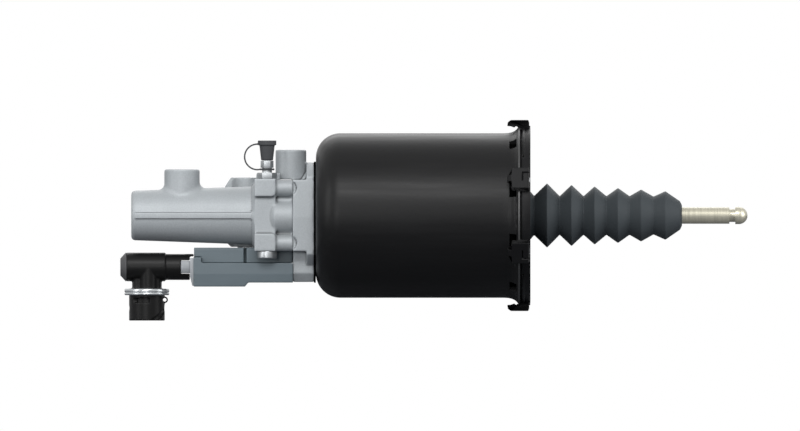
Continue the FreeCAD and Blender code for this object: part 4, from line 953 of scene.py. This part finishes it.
def cover_hook(number, degrees):
    """One hook of the end cover: its outline carried across its width, with a slot in the outer face.

    The outline point (x, r) and the distance w across give the point (x, r, w) of the hook's own frame,
    with r turned outwards. The slot takes the outer face in by its depth, and the two ends are narrowed
    a little so that the long edges are rounded.
    """
    outline = even_outline(rounded_profile(np.array(hook_outline), hook_rounding), hook_spacing)
    across = np.linspace(-hook_width / 2, hook_width / 2, hook_columns)
    x = np.repeat(outline[:, :1], len(across), axis=1)
    r = np.repeat(outline[:, 1:], len(across), axis=1)
    w = np.repeat(across[None, :], len(outline), axis=0)
    middle = outline.mean(axis=0)
    ends = np.clip((np.abs(w) - (hook_width / 2 - hook_end_width)) / hook_end_width, 0, 1) ** 2
    x = x + (middle[0] - x) * hook_end_narrowing[0] * ends
    r = r + (middle[1] - r) * hook_end_narrowing[1] * ends
    outer = r > hook_outline[-1][1] - hook_outer_depth
    r = r - hook_slot_depth * hook_form(x, w * math.copysign(1.0, degrees)) * outer
    tip = np.clip((hook_tip_right - x) / hook_tip_side, 0, 1)
    w = w * (1 - (1 - hook_tip_share) * tip)
    points = around_axis(x, r, w, degrees)
    faces = capped_faces(len(outline), len(across))
    return new_piece(f"cover_hook_{number}", points, faces, "black_clip", "root")


def around_axis(x, r, w, degrees):
    """Points of a piece on the rim: x along the axis, r outwards and w across, turned to an angle."""
    turn = math.radians(degrees)
    y = -r * math.cos(turn) + w * math.sin(turn)
    z = r * math.sin(turn) + w * math.cos(turn)
    return np.stack([x, y, z], axis=-1).reshape(-1, 3) * MM


def capped_faces(rows, columns):
    """Faces of a closed outline carried across, with a face over each end."""
    faces = grid_faces(rows, columns, wrap_rows=True, wrap_columns=False).tolist()
    faces.append([row * columns for row in range(rows)])
    faces.append([row * columns + columns - 1 for row in range(rows)][::-1])
    return faces


def hook_tab_piece(number, degrees):
    """The sheet-metal tab of the cover that a hook closes on: a rounded outline carried across."""
    outline = rounded_profile(np.array(hook_tab), hook_tab_rounding)
    across = np.linspace(-hook_tab_half_width, hook_tab_half_width, hook_tab_columns)
    x = np.repeat(outline[:, :1], len(across), axis=1)
    r = np.repeat(outline[:, 1:], len(across), axis=1)
    w = np.repeat(across[None, :], len(outline), axis=0)
    faces = capped_faces(len(outline), len(across))
    new_piece(f"hook_tab_{number}", around_axis(x, r, w, degrees), faces, "tab_steel", "root")


camera()
studio()
dress_nodes()
bellows()
preload_spring()
relay_spring()
for form in CAST_FORMS:
    cast_form(*form)
for form in EASED_FORMS:
    eased_form(*form)
connector_ring()
eased_form("cover_sheet", "end_cover", "black_cover", 0.5, "root")
can_shell()
rim_strips()
parting_shadow_lines()
seam_shadow_strips()
threads()
eased_form("rod_metal", "pushrod", "yellow_steel", 0.3, "piston_group")
for number, degrees in enumerate(hook_angles):
    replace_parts(cover_hook(number + 1, degrees), "cover_clips")
    hook_tab_piece(number + 1, degrees)
